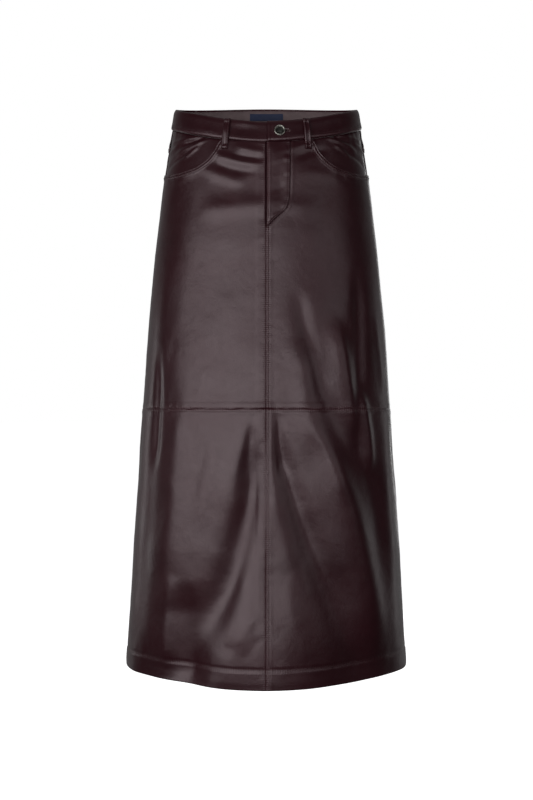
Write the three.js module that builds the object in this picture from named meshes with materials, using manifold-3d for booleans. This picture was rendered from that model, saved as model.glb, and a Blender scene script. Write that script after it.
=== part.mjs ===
// A long A-line skirt in dark leather, hollow and filled out as it hangs when it is worn.
// It has a curved waistband that dips at the front, a buttoned fly, two curved front pockets,
// five belt loops, a back yoke, a level seam round the thighs and a turned-up hem.
// Millimetres. +Z is up, -Y is the front, +X is the wearer's left.
// The origin is the middle of the waist, level with the waistband at the side seams.
import * as THREE from "three";
import { mergeVertices } from "three/addons/utils/BufferGeometryUtils.js";
import Module from "manifold-3d";

const wasm = await Module();
wasm.setup();

// Walls and gaps
const LEATHER = 1.2;
const SEAM_GAP = 0.3;
const UNDER_GAP = 1.2; // between a panel and the piece that lies inside it

// Heights round the waist and down the skirt
const WAIST_TOP = { front: -15, side: 21.5, back: 40 };
const WAIST_DIP_SHARE = 0.64; // how much of the front dip is a plain tilt
const BAND_HEIGHT = 32.5;
const THIGH_SEAM = -450.5;
const HEM = { front: -863, side: -853, back: -861 };
const HEM_TURNUP = { height: 30, step: 1 }; // the wall doubles over the step

// The form under the cloth: half widths, and depths in front of and behind the side seams.
// Squareness 2 is an ellipse, and more is flatter in front and behind.
const SECTIONS = [
  { z: 45, halfWidth: 139, front: 84, back: 87, squareness: 2.1 },
  { z: 15, halfWidth: 144.5, front: 88, back: 93, squareness: 2.1 },
  { z: -17, halfWidth: 149.3, front: 93, back: 101, squareness: 2.12 },
  { z: -82, halfWidth: 159.5, front: 102, back: 119, squareness: 2.15 },
  { z: -180, halfWidth: 171.5, front: 108, back: 133, squareness: 2.15 },
  { z: -310, halfWidth: 184.5, front: 116, back: 137, squareness: 2.15 },
  { z: -450, halfWidth: 194.5, front: 128, back: 142, squareness: 2.1 },
  { z: -650, halfWidth: 208, front: 143, back: 151, squareness: 2.05 },
  { z: -870, halfWidth: 221, front: 158, back: 164, squareness: 2 },
];
const ANGLE_STRETCH = 1.35; // evens out the distance that one degree covers

// Soft folds. Angles are round the waist from the centre front, positive to the wearer's left.
// Width, depth and bow are in millimetres. A negative depth is a trough, and a bow bends a fold's
// middle to the wearer's left.
const FOLDS = [
  { name: "right front trough", from: [-5, -462], to: [-37, -830], bow: 12, width: [9, 30], depth: -6 },
  { name: "right front ridge", from: [-3, -520], to: [-23, -840], bow: 8, width: [12, 24], depth: 3.5 },
  { name: "right thigh ridge", from: [-42, -410], to: [-42, -850], bow: -4, width: [18, 26], depth: 4 },
  { name: "right side trough", from: [-57, -400], to: [-49, -850], bow: 5, width: [14, 22], depth: -4 },
  { name: "left front trough", from: [4, -458], to: [25, -830], bow: -11, width: [9, 32], depth: -6 },
  { name: "left front ridge", from: [13, -420], to: [38, -670], bow: 0, width: [16, 24], depth: 3.5 },
  { name: "left side trough", from: [28, -400], to: [53, -700], bow: 6, width: [13, 22], depth: -4 },
  { name: "left side ridge", from: [66, -430], to: [62, -860], bow: -6, width: [18, 26], depth: 3.5 },
  { name: "left thigh trough", from: [15, -230], to: [28, -430], bow: 0, width: [12, 15], depth: -3.5 },
  { name: "left thigh ridge", from: [30, -270], to: [40, -460], bow: 0, width: [13, 16], depth: 3 },
  { name: "left hip trough", from: [54, -220], to: [48, -460], bow: 4, width: [12, 14], depth: -3 },
  { name: "right hip ridge", from: [-60, -210], to: [-66, -470], bow: 0, width: [16, 20], depth: 3 },
  { name: "left seat trough", from: [150, -250], to: [140, -890], bow: 10, width: [18, 36], depth: -7 },
  { name: "right seat trough", from: [-147, -240], to: [-141, -890], bow: -8, width: [18, 38], depth: -7 },
  { name: "left seat ridge", from: [164, -420], to: [160, -890], bow: 0, width: [18, 30], depth: 4 },
  { name: "right seat ridge", from: [-166, -400], to: [-158, -890], bow: 0, width: [18, 30], depth: 4 },
  { name: "left back trough", from: [108, -330], to: [116, -890], bow: -8, width: [16, 30], depth: -5 },
  { name: "right back trough", from: [-106, -360], to: [-117, -890], bow: 6, width: [16, 28], depth: -5 },
];
const MM_PER_DEGREE = 3; // along the cloth, round the body
const FOLD_FADE = 0.3; // share of a fold's length that it takes to rise or die out
const COLUMNS = 20; // across each quarter of the skirt

// Front pockets: how far below the waistband the mouth is at each angle
const POCKET_MOUTH = [
  { angle: 30, down: 0 },
  { angle: 32, down: 8 },
  { angle: 34.8, down: 23 },
  { angle: 38.5, down: 35 },
  { angle: 43.6, down: 46 },
  { angle: 50.3, down: 54.5 },
  { angle: 59.5, down: 62.5 },
  { angle: 70, down: 68 },
  { angle: 90, down: 72 },
];
// Angles of a front panel's columns, which stand close together where the mouth is steep
const FRONT_COLUMNS = [
  0, 4.3, 8.6, 12.9, 17.1, 21.4, 25.7, 30, 31, 32, 33.4, 35, 37, 40, 43.6,
  48, 53, 58, 63.5, 69, 74, 79, 84.5, 90,
];
// The cloth behind the mouth reaches this far in under the front panel
const POCKET_FACING = [
  { down: 0, angle: 24 },
  { down: 30, angle: 26 },
  { down: 50, angle: 31 },
  { down: 68, angle: 41 },
  { down: 85, angle: 58 },
  { down: 100, angle: 86 },
];

// Fly: width at each distance below the waistband
const FLY = [
  { down: 0, width: 35.5 },
  { down: 70, width: 35 },
  { down: 90, width: 33.5 },
  { down: 104, width: 28 },
  { down: 117, width: 13 },
  { down: 128, width: 2.5 },
];
const FLY_WALL = 1;
const FLY_EDGE = 0.8; // from the centre front to the folded edge
const SLIDER = { width: 8, height: 11, wall: 1.2, bevel: 0.3, down: 8 };
const ZIP = {
  halfWidth: 14, top: 3, foot: 122, tape: 0.8, chain: 1.2, chainHalfWidth: 2.6, chainFoot: 3.1,
};

// Waistband: its two ends lap at the centre front
const BAND_WALL = 3;
const BAND_EDGE = 0.9; // chamfer
const BAND_ROLL = { height: 6, inwards: 2.2 }; // how the top leans in
const LAP = {
  end: 0.5, overFlat: 15, overBlend: 30, lift: 1.75,
  underBlend: 340, underFlat: 356, under: 374, sink: 1.85,
};
const BAND_FACING = { from: 17, to: 338, wall: 0.8, topMargin: 3 };

// Back yoke: depth below the waistband, and how its lower edge laps over the panel
const YOKE = { side: 35, back: 62, lap: 8, rise: 24 };

// Belt loops
const LOOP = { width: 10, wall: 1.6, length: 47, bow: 2.6, belowTop: 1, bowLength: 40.5, seat: 44 };
const LOOP_PLACES = [
  { name: "belt_loop_front_left", angle: 27 },
  { name: "belt_loop_front_right", angle: -27 },
  { name: "belt_loop_side_left", angle: 118 },
  { name: "belt_loop_side_right", angle: -118 },
  { name: "belt_loop_centre_back", angle: 180 },
];

// Waist button and its hole
const BUTTON = {
  across: 19.6, height: 16.5, radius: 8.3, cap: 3, edge: 0.8, rim: 1.1, dish: 0.8, shank: 2,
};
const BUTTONHOLE = { length: 12, width: 5, towardsEnd: 2.5 };
const TACK = { radius: 4.5, neck: 2.7, height: 1.4, edge: 0.8 };

// Woven label inside the back of the waistband
const LABEL = { width: 55, height: 11, fromTop: 7.5, wall: 0.5 };

const LEATHER_FINISH = { color: 0x3a1f24, roughness: 0.42, metalness: 0 };
const FACING_FINISH = { color: 0x5c4a4c, roughness: 0.8, metalness: 0 };
const METAL_FINISH = { color: 0x4a4a46, roughness: 0.35, metalness: 0.9 };
const LABEL_FINISH = { color: 0x14234a, roughness: 0.85, metalness: 0 };
const TAPE_FINISH = { color: 0x2a171a, roughness: 0.85, metalness: 0 };

const RAD = Math.PI / 180;
const mix = (a, b, t) => a + (b - a) * t;
const clamp01 = (t) => Math.min(1, Math.max(0, t));
const ease = (low, high, x) => {
  const t = clamp01((x - low) / (high - low));
  return t * t * (3 - 2 * t);
};
const steps = (n) => Array.from({ length: n + 1 }, (_, i) => i / n);
const spaced = (from, to, n) => steps(n).map((t) => mix(from, to, t));

// A smooth value of one column between a table's rows, which run in order of the key column.
function between(table, key, column, at) {
  const last = table.length - 1;
  const sign = Math.sign(table[last][key] - table[0][key]);
  let i = 0;
  while (i < last - 1 && (at - table[i + 1][key]) * sign > 0) i += 1;
  const slope = (k) => {
    const a = table[Math.max(0, k - 1)];
    const b = table[Math.min(last, k + 1)];
    return (b[column] - a[column]) / (b[key] - a[key]);
  };
  const a = table[i];
  const b = table[i + 1];
  const span = b[key] - a[key];
  const t = clamp01((at - a[key]) / span);
  const rise = b[column] - a[column];
  const c = slope(i) * span - rise;
  const d = rise - slope(i + 1) * span;
  return a[column] + rise * t + t * (1 - t) * (c * (1 - t) + d * t);
}

// Heights of the waistband's top and lower edges, and of the hem, at an angle
function bandTop(angle) {
  const c = Math.cos(angle * RAD);
  if (c < 0) return WAIST_TOP.side - (WAIST_TOP.back - WAIST_TOP.side) * c;
  const tilt = WAIST_DIP_SHARE * (1 - c) + (1 - WAIST_DIP_SHARE) * (1 - c * c);
  return mix(WAIST_TOP.front, WAIST_TOP.side, tilt);
}
const waistSeam = (angle) => bandTop(angle) - BAND_HEIGHT;
function hemLine(angle) {
  const c = Math.cos(angle * RAD);
  return mix(HEM.side, c > 0 ? HEM.front : HEM.back, c * c);
}

// How far the folds push the cloth out at a place
function foldsAt(angle, z) {
  let push = 0;
  for (const fold of FOLDS) {
    let turn = angle - fold.from[0];
    turn -= 360 * Math.round(turn / 360);
    const alongX = (fold.to[0] - fold.from[0]) * MM_PER_DEGREE;
    const alongZ = fold.to[1] - fold.from[1];
    const length = Math.hypot(alongX, alongZ);
    const x = turn * MM_PER_DEGREE;
    const y = z - fold.from[1];
    const t = (x * alongX + y * alongZ) / (length * length);
    if (t <= 0 || t >= 1) continue;
    const aside = (y * alongX - x * alongZ) / length - fold.bow * 4 * t * (1 - t);
    const width = mix(fold.width[0], fold.width[1], t);
    const fade = ease(0, FOLD_FADE, t) * (1 - ease(1 - FOLD_FADE, 1, t));
    push += fold.depth * fade * Math.exp(-((aside / width) ** 2));
  }
  return push;
}

// The outer face of the cloth
function skin(angle, z) {
  const turn = angle * RAD;
  const heading = Math.atan2(ANGLE_STRETCH * Math.sin(turn), Math.cos(turn));
  const s = Math.sin(heading);
  const c = Math.cos(heading);
  const halfWidth = between(SECTIONS, "z", "halfWidth", z);
  const depth = between(SECTIONS, "z", c > 0 ? "front" : "back", z);
  const n = between(SECTIONS, "z", "squareness", z);
  const reach = (Math.abs(s / halfWidth) ** n + Math.abs(c / depth) ** n) ** (-1 / n);
  const r = reach + foldsAt(angle, z);
  return new THREE.Vector3(r * s, -r * c, z);
}
const PROBE = { degrees: 0.5, height: 2 };
function across(angle, z) {
  return skin(angle + PROBE.degrees, z).sub(skin(angle - PROBE.degrees, z));
}
function outward(angle, z) {
  const up = skin(angle, z + PROBE.height).sub(skin(angle, z - PROBE.height));
  return across(angle, z).cross(up).normalize();
}
// A point that lies a distance out from the cloth's outer face
const off = (angle, z, out) => skin(angle, z).addScaledVector(outward(angle, z), out);
// Degrees that a distance takes up at a place
const degreesFor = (distance, angle, z) =>
  (distance * 2 * PROBE.degrees) / across(angle, z).length();
// The angle at which the front of the cloth is a given distance to the side of the centre
function angleAcross(distance, z) {
  let low = 0;
  let high = 90;
  while (high - low > 1e-4) {
    const middle = (low + high) / 2;
    if (skin(middle, z).x < distance) low = middle;
    else high = middle;
  }
  return low;
}

// Turns the triangles round if they face inwards
function facingOut(positions, triangles) {
  let volume = 0;
  const [a, b, c] = [0, 1, 2].map(() => new THREE.Vector3());
  for (let i = 0; i < triangles.length; i += 3) {
    a.copy(positions[triangles[i]]);
    b.copy(positions[triangles[i + 1]]);
    c.copy(positions[triangles[i + 2]]);
    volume += a.dot(b.cross(c));
  }
  if (volume < 0)
    for (let i = 0; i < triangles.length; i += 3)
      [triangles[i + 1], triangles[i + 2]] = [triangles[i + 2], triangles[i + 1]];
  const geometry = new THREE.BufferGeometry().setFromPoints(positions);
  geometry.setIndex(triangles);
  geometry.computeVertexNormals();
  return geometry;
}

// A closed wall over a grid: place gives an angle and a height for each u and v,
// and outer and inner give how far out each face lies.
function wall(us, vs, place, outer, inner) {
  const faces = [outer, inner].map((face) =>
    vs.map((v) =>
      us.map((u) => {
        const { angle, z } = place(u, v);
        return off(angle, z, face(u, v));
      }),
    ),
  );
  const wide = us.length;
  const tall = vs.length;
  const index = (face, i, j) => face * wide * tall + j * wide + i;
  const triangles = [];
  const quad = (a, b, c, d) => triangles.push(a, b, c, a, c, d);
  for (let j = 0; j < tall - 1; j += 1)
    for (let i = 0; i < wide - 1; i += 1)
      for (const face of [0, 1]) {
        const corners = [[i, j], [i, j + 1], [i + 1, j + 1], [i + 1, j]];
        if (face) corners.reverse();
        quad(...corners.map(([k, l]) => index(face, k, l)));
      }
  const rim = [];
  for (let i = 0; i < wide - 1; i += 1) rim.push([i, 0]);
  for (let j = 0; j < tall - 1; j += 1) rim.push([wide - 1, j]);
  for (let i = wide - 1; i > 0; i -= 1) rim.push([i, tall - 1]);
  for (let j = tall - 1; j > 0; j -= 1) rim.push([0, j]);
  rim.forEach(([i, j], k) => {
    const [ni, nj] = rim[(k + 1) % rim.length];
    quad(index(0, i, j), index(0, ni, nj), index(1, ni, nj), index(1, i, j));
  });
  return facingOut(faces.flat(2), triangles);
}

// A closed band whose section, a loop of {out, up} points, follows a list of stations
function sweptBand(stations, section, pointAt) {
  const positions = stations.flatMap((station) => section.map((corner) => pointAt(station, corner)));
  const n = section.length;
  const triangles = [];
  for (let i = 0; i < stations.length - 1; i += 1)
    for (let k = 0; k < n; k += 1) {
      const [a, b] = [i * n + k, i * n + ((k + 1) % n)];
      triangles.push(a, b, b + n, a, b + n, a + n);
    }
  const last = (stations.length - 1) * n;
  for (let k = 1; k < n - 1; k += 1) triangles.push(0, k + 1, k, last, last + k, last + k + 1);
  return facingOut(positions, triangles);
}

const skirt = new THREE.Group();
function add(name, geometry, finish) {
  const mesh = new THREE.Mesh(geometry, new THREE.MeshStandardMaterial(finish));
  mesh.name = name;
  skirt.add(mesh);
}
const SIDES = [
  { side: 1, label: "left" },
  { side: -1, label: "right" },
];
// Keeps a panel's edges half a gap inside the two seams that bound it
function betweenSeams(low, high, u, side, z) {
  const a = low + degreesFor(SEAM_GAP / 2, side * low, z);
  const b = high - degreesFor(SEAM_GAP / 2, side * high, z);
  return side * mix(a, b, u);
}

// Front panels above the thigh seam, cut away at the pocket mouths
function frontUpper(side) {
  const mouth = POCKET_MOUTH[0].angle;
  const place = (angle, v) => {
    const open = angle > mouth ? between(POCKET_MOUTH, "angle", "down", angle) : 0;
    const top = waistSeam(angle) - Math.max(SEAM_GAP, open);
    const z = mix(top, THIGH_SEAM + SEAM_GAP / 2, v);
    return { angle: betweenSeams(0, 90, angle / 90, side, z), z };
  };
  return wall(FRONT_COLUMNS, steps(11), place, () => 0, () => -LEATHER);
}

// Back yoke, whose lower edge laps over the panel under it
const yokeDepth = (angle) => mix(YOKE.side, YOKE.back, Math.abs(Math.cos(angle * RAD)));
function yoke(side) {
  const place = (u, v) => {
    const guess = mix(90, 180, u);
    const z = waistSeam(guess) - mix(SEAM_GAP, yokeDepth(guess), v);
    return { angle: betweenSeams(90, 180, u, side, z), z };
  };
  const proud = LEATHER + SEAM_GAP;
  const outer = (u, v) => {
    const height = (1 - v) * yokeDepth(mix(90, 180, u));
    return proud * (1 - ease(YOKE.lap + 1, YOKE.rise, height));
  };
  return wall(steps(COLUMNS), [0, 0.3, 0.5, 0.65, 0.8, 1], place, outer, (u, v) => outer(u, v) - LEATHER);
}

// Back panels between the yoke and the thigh seam
function backUpper(side) {
  const place = (u, v) => {
    const guess = mix(90, 180, u);
    const top = waistSeam(guess) - yokeDepth(guess) + YOKE.lap;
    const z = mix(top, THIGH_SEAM + SEAM_GAP / 2, v);
    return { angle: betweenSeams(90, 180, u, side, z), z };
  };
  return wall(steps(COLUMNS), steps(8), place, () => 0, () => -LEATHER);
}

// Lower panels, with the hem turned up inside
function lower(side, low) {
  const high = low + 90;
  const { height, step } = HEM_TURNUP;
  const place = (u, { share, up }) => {
    const guess = mix(low, high, u);
    const foot = hemLine(guess);
    const top = THIGH_SEAM - SEAM_GAP / 2;
    const z = up === undefined ? mix(top, foot + height + step, share) : foot + up;
    return { angle: betweenSeams(low, high, u, side, z), z };
  };
  const rows = [
    ...steps(9).map((share) => ({ share, walls: 1 })),
    { up: height, walls: 2 },
    { up: height / 2, walls: 2 },
    { up: 0, walls: 2 },
  ];
  return wall(steps(COLUMNS), rows, place, () => 0, (u, { walls }) => -LEATHER * walls);
}

// The cloth that shows behind a pocket mouth
function pocketFacing(side) {
  const rows = [SEAM_GAP, 14, 28, 40, 50, 60, 70, 80, 90, 100];
  const place = (u, down) => {
    const inner = between(POCKET_FACING, "down", "angle", down);
    const z = waistSeam(mix(inner, 90, u)) - down;
    const edge = 90 - degreesFor(SEAM_GAP / 2, side * 90, z);
    return { angle: side * mix(inner, edge, u), z };
  };
  const out = -(LEATHER + UNDER_GAP);
  return wall(steps(10), rows, place, () => out, () => out - LEATHER);
}

// The fly's outer layer, on the wearer's left panel, with its curved foot
function fly() {
  const rows = [SEAM_GAP, 35, 70, 82, 90, 96, 101, 106, 111, 116, 122, 128];
  const place = (u, down) => {
    const z = waistSeam(0) - down;
    const width = between(FLY, "down", "width", down);
    const angle = angleAcross(mix(FLY_EDGE, FLY_EDGE + width, u), z);
    return { angle, z: waistSeam(angle) - down };
  };
  return wall(steps(6), rows, place, () => SEAM_GAP + FLY_WALL, () => SEAM_GAP);
}

// The closed zip behind the fly: a tape with the chain along its middle
function zip() {
  const halfStops = [ZIP.chainHalfWidth, ZIP.chainFoot, ZIP.halfWidth];
  const stops = [...halfStops.map((x) => -x).reverse(), ...halfStops];
  const place = (x, v) => {
    const z = waistSeam(0) - mix(ZIP.top, ZIP.foot, v);
    return { angle: Math.sign(x) * angleAcross(Math.abs(x), z), z };
  };
  const out = -(LEATHER + UNDER_GAP);
  const inner = (x) => out - ZIP.tape - (Math.abs(x) <= ZIP.chainHalfWidth ? ZIP.chain : 0);
  return wall(stops, steps(9), place, () => out, inner);
}

// The slider's back plate, at the top of the closed chain
function slider() {
  const { width, height, wall: depth, bevel, down } = SLIDER;
  const half = width / 2;
  const plate = new THREE.Shape();
  plate.moveTo(-half, height / 2).lineTo(-half, 0);
  plate.absarc(0, half - height / 2, half, Math.PI, Math.PI * 2);
  plate.lineTo(half, height / 2).closePath();
  const solid = new THREE.ExtrudeGeometry(plate, {
    depth,
    bevelSize: bevel,
    bevelThickness: bevel,
    bevelOffset: -bevel,
    bevelSegments: 1,
    curveSegments: 8,
  });
  const chainBack = LEATHER + UNDER_GAP + ZIP.tape + ZIP.chain;
  const z = waistSeam(0) - ZIP.top - down;
  return placeOnCloth(solid, 0, z, -(chainBack + SEAM_GAP + bevel + depth));
}

// Waistband: stations run from the lap's end at the centre front, round the back, to the underlap
function lapOffset(station) {
  const over = LAP.lift * (1 - ease(LAP.overFlat, LAP.overBlend, station));
  const under = -LAP.sink * ease(LAP.underBlend, LAP.underFlat, station);
  return over + under;
}
const bandPoint = (station, { out, up }) => {
  const rolled = clamp01((up - BAND_HEIGHT + BAND_ROLL.height) / BAND_ROLL.height);
  const lean = BAND_ROLL.inwards * rolled;
  return off(station, waistSeam(station) + up, out + lapOffset(station) - lean);
};
function bandSection(inner, outer, foot, top, edge) {
  const roll = BAND_HEIGHT - BAND_ROLL.height;
  return [
    { out: outer - edge, up: foot },
    { out: outer, up: foot + edge },
    { out: outer, up: roll },
    { out: outer, up: top - edge },
    { out: outer - edge, up: top },
    { out: inner + edge, up: top },
    { out: inner, up: top - edge },
    { out: inner, up: roll },
    { out: inner, up: foot + edge },
    { out: inner + edge, up: foot },
  ];
}
const BAND_STATIONS = [
  ...spaced(LAP.end, LAP.overBlend, 6),
  ...spaced(LAP.overBlend, LAP.underBlend, 52).slice(1, -1),
  ...spaced(LAP.underBlend, LAP.under, 8),
];
function asSolid(geometry) {
  const bare = geometry.clone();
  bare.deleteAttribute("normal");
  bare.deleteAttribute("uv");
  const merged = mergeVertices(bare, 1e-4);
  return new wasm.Manifold(
    new wasm.Mesh({
      numProp: 3,
      vertProperties: merged.attributes.position.array,
      triVerts: new Uint32Array(merged.index.array),
    }),
  );
}
function asGeometry(solid) {
  const { vertProperties, triVerts } = solid.getMesh();
  const geometry = new THREE.BufferGeometry();
  geometry.setAttribute("position", new THREE.BufferAttribute(Float32Array.from(vertProperties), 3));
  geometry.setIndex(new THREE.BufferAttribute(Uint32Array.from(triVerts), 1));
  geometry.computeVertexNormals();
  return geometry;
}
// Turns a shape that was made along +Z so that +Z points out of the cloth at a place
function placeOnCloth(geometry, angle, z, out) {
  const normal = outward(angle, z);
  const sideways = across(angle, z).normalize();
  const up = new THREE.Vector3().crossVectors(normal, sideways);
  const frame = new THREE.Matrix4().makeBasis(sideways, up, normal);
  return geometry.clone().applyMatrix4(frame.setPosition(off(angle, z, out)));
}
function placeAtButton(geometry, out) {
  const z = waistSeam(0) + BUTTON.height;
  return placeOnCloth(geometry, angleAcross(BUTTON.across, z), z, out);
}
function waistband() {
  const section = bandSection(-BAND_WALL / 2, BAND_WALL / 2, 0, BAND_HEIGHT, BAND_EDGE);
  const band = asSolid(sweptBand(BAND_STATIONS, section, bandPoint));
  const half = BUTTONHOLE.width / 2;
  const [near, far] = [half - BUTTONHOLE.length / 2, BUTTONHOLE.length / 2 - half];
  const slot = new THREE.Shape()
    .absarc(far - BUTTONHOLE.towardsEnd, 0, half, -Math.PI / 2, Math.PI / 2)
    .absarc(near - BUTTONHOLE.towardsEnd, 0, half, Math.PI / 2, (3 * Math.PI) / 2);
  const floor = LAP.lift - BAND_WALL / 2 - SEAM_GAP;
  const cut = { depth: BAND_WALL * 2, bevelEnabled: false, curveSegments: 6 };
  const cutter = new THREE.ExtrudeGeometry(slot, cut);
  return asGeometry(band.subtract(asSolid(placeAtButton(cutter, floor))));
}
function bandFacing() {
  const out = -BAND_WALL / 2 - SEAM_GAP;
  const top = BAND_HEIGHT - BAND_FACING.topMargin;
  const roll = BAND_HEIGHT - BAND_ROLL.height;
  const section = [0, roll, top].map((up) => ({ out, up }));
  const inside = [top, roll, 0].map((up) => ({ out: out - BAND_FACING.wall, up }));
  const stations = BAND_STATIONS.filter((at) => at >= BAND_FACING.from && at <= BAND_FACING.to);
  return sweptBand(stations, [...section, ...inside], bandPoint);
}

// A belt loop: a strip that bows off the waistband and comes down onto the cloth under it
function beltLoop(angle) {
  const top = bandTop(angle) - LOOP.belowTop;
  const onBand = BAND_WALL / 2 + SEAM_GAP + Math.abs(lapOffset(angle));
  const lift = (v) => {
    const down = v * LOOP.length;
    const seat = mix(onBand, SEAM_GAP, ease(BAND_HEIGHT, LOOP.seat, down));
    return seat + LOOP.bow * Math.sin(Math.PI * clamp01(down / LOOP.bowLength)) ** 2;
  };
  const place = (u, v) => {
    const z = top - v * LOOP.length;
    return { angle: angle + degreesFor(LOOP.width * u, angle, z), z };
  };
  return wall([-0.5, 0, 0.5], steps(14), place, (u, v) => lift(v) + LOOP.wall, (u, v) => lift(v));
}

// Tack button: a dished cap with a raised rim on a shank, and its back inside the underlap
function lathe(profile, segments) {
  const points = profile.map(([r, z]) => new THREE.Vector2(r, z));
  return new THREE.LatheGeometry(points, segments).rotateX(Math.PI / 2);
}
function button() {
  const under = BAND_WALL / 2 + LAP.lift + SEAM_GAP;
  const shankFoot = BAND_WALL / 2 - LAP.sink + SEAM_GAP;
  const { radius: r, cap, edge, rim, dish, shank } = BUTTON;
  const top = under + cap;
  const profile = [
    [0, shankFoot],
    [shank, shankFoot],
    [shank, under],
    [r - edge, under],
    [r, under + edge],
    [r, top - edge],
    [r - rim / 2, top],
    [r - rim, top],
    [r - rim - dish / 2, top - dish],
    [0, top - dish],
  ];
  return placeAtButton(lathe(profile, 32), 0);
}
function tackBack() {
  const face = -(LAP.sink + BAND_WALL / 2 + SEAM_GAP);
  const profile = [
    [0, face - TACK.height],
    [TACK.neck, face - TACK.height],
    [TACK.radius, face - TACK.height + TACK.edge],
    [TACK.radius, face],
    [0, face],
  ];
  return placeAtButton(lathe(profile, 24), 0);
}

// The label's place is inside the facing at the centre back
function label() {
  const out = -(BAND_WALL / 2 + SEAM_GAP + BAND_FACING.wall + SEAM_GAP);
  const place = (u, v) => {
    const z = bandTop(180) - LABEL.fromTop - v * LABEL.height;
    return { angle: 180 + degreesFor(LABEL.width * u, 180, z), z };
  };
  return wall(steps(6).map((t) => t - 0.5), steps(1), place, () => out, () => out - LABEL.wall);
}

for (const { side, label: word } of SIDES) {
  add(`front_upper_${word}`, frontUpper(side), LEATHER_FINISH);
  add(`front_lower_${word}`, lower(side, 0), LEATHER_FINISH);
  add(`back_upper_${word}`, backUpper(side), LEATHER_FINISH);
  add(`back_lower_${word}`, lower(side, 90), LEATHER_FINISH);
  add(`back_yoke_${word}`, yoke(side), LEATHER_FINISH);
  add(`pocket_facing_${word}`, pocketFacing(side), LEATHER_FINISH);
}
add("waistband", waistband(), LEATHER_FINISH);
add("waistband_facing", bandFacing(), FACING_FINISH);
add("fly_front", fly(), LEATHER_FINISH);
add("fly_zip", zip(), TAPE_FINISH);
add("zip_slider", slider(), METAL_FINISH);
for (const { name, angle } of LOOP_PLACES) add(name, beltLoop(angle), LEATHER_FINISH);
add("waist_button", button(), METAL_FINISH);
add("button_back", tackBack(), METAL_FINISH);
add("woven_label", label(), LABEL_FINISH);

export default skirt;
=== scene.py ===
"""A long leather skirt, filled out as worn: its cut pieces, sewing, finishes and a plain studio."""

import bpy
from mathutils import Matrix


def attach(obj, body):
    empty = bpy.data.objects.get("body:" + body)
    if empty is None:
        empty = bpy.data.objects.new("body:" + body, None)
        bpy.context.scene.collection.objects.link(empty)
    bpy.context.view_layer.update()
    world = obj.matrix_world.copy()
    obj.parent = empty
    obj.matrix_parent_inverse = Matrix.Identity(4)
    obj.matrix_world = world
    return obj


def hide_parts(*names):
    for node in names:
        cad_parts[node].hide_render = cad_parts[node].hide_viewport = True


bl_info = {
    "name": "Leather skirt",
    "version": (1, 0, 0),
    "blender": (4, 5, 0),
    "location": "View3D > Sidebar > Skirt",
    "description": "Cuts, sews and finishes a long leather skirt around its packed model",
    "category": "Add Mesh",
}

import math

import bmesh
import bpy
import numpy as np
from bpy.props import FloatProperty, FloatVectorProperty, PointerProperty
from mathutils import Matrix, Vector

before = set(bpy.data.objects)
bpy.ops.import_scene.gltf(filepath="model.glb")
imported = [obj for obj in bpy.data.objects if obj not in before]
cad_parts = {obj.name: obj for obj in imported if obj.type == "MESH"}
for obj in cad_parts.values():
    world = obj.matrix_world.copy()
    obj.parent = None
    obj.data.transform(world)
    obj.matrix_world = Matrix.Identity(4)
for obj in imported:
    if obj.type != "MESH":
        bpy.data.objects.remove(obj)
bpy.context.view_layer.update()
MM = 0.001

# Walls and gaps, in millimetres as all sizes of the form are
LEATHER = 1.2
SEAM_GAP = 0.3
UNDER_GAP = 1.2

# Heights round the waist and down the skirt
WAIST_FRONT, WAIST_SIDE, WAIST_BACK = -15, 21.5, 40
WAIST_DIP_SHARE = 0.64
BAND_HEIGHT = 32.5
THIGH_SEAM = -450.5
HEM_FRONT, HEM_SIDE, HEM_BACK = -863, -853, -861
TURNUP = 30
TURNUP_FOLD = 1.3

# The form under the cloth: height, half width, depth in front, depth behind and squareness
SECTIONS = np.array([
    (45, 139, 84, 87, 2.1),
    (15, 144.5, 88, 93, 2.1),
    (-17, 149.3, 93, 101, 2.12),
    (-82, 159.5, 102, 119, 2.15),
    (-180, 171.5, 108, 133, 2.15),
    (-310, 184.5, 116, 137, 2.15),
    (-450, 194.5, 128, 142, 2.1),
    (-650, 208, 143, 151, 2.05),
    (-870, 221, 158, 164, 2),
], float)
ANGLE_STRETCH = 1.35
MM_PER_DEGREE = 3
PROBE_DEGREES = 0.5
PROBE_HEIGHT = 2
SIDES = ((1, "left"), (-1, "right"))

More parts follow.
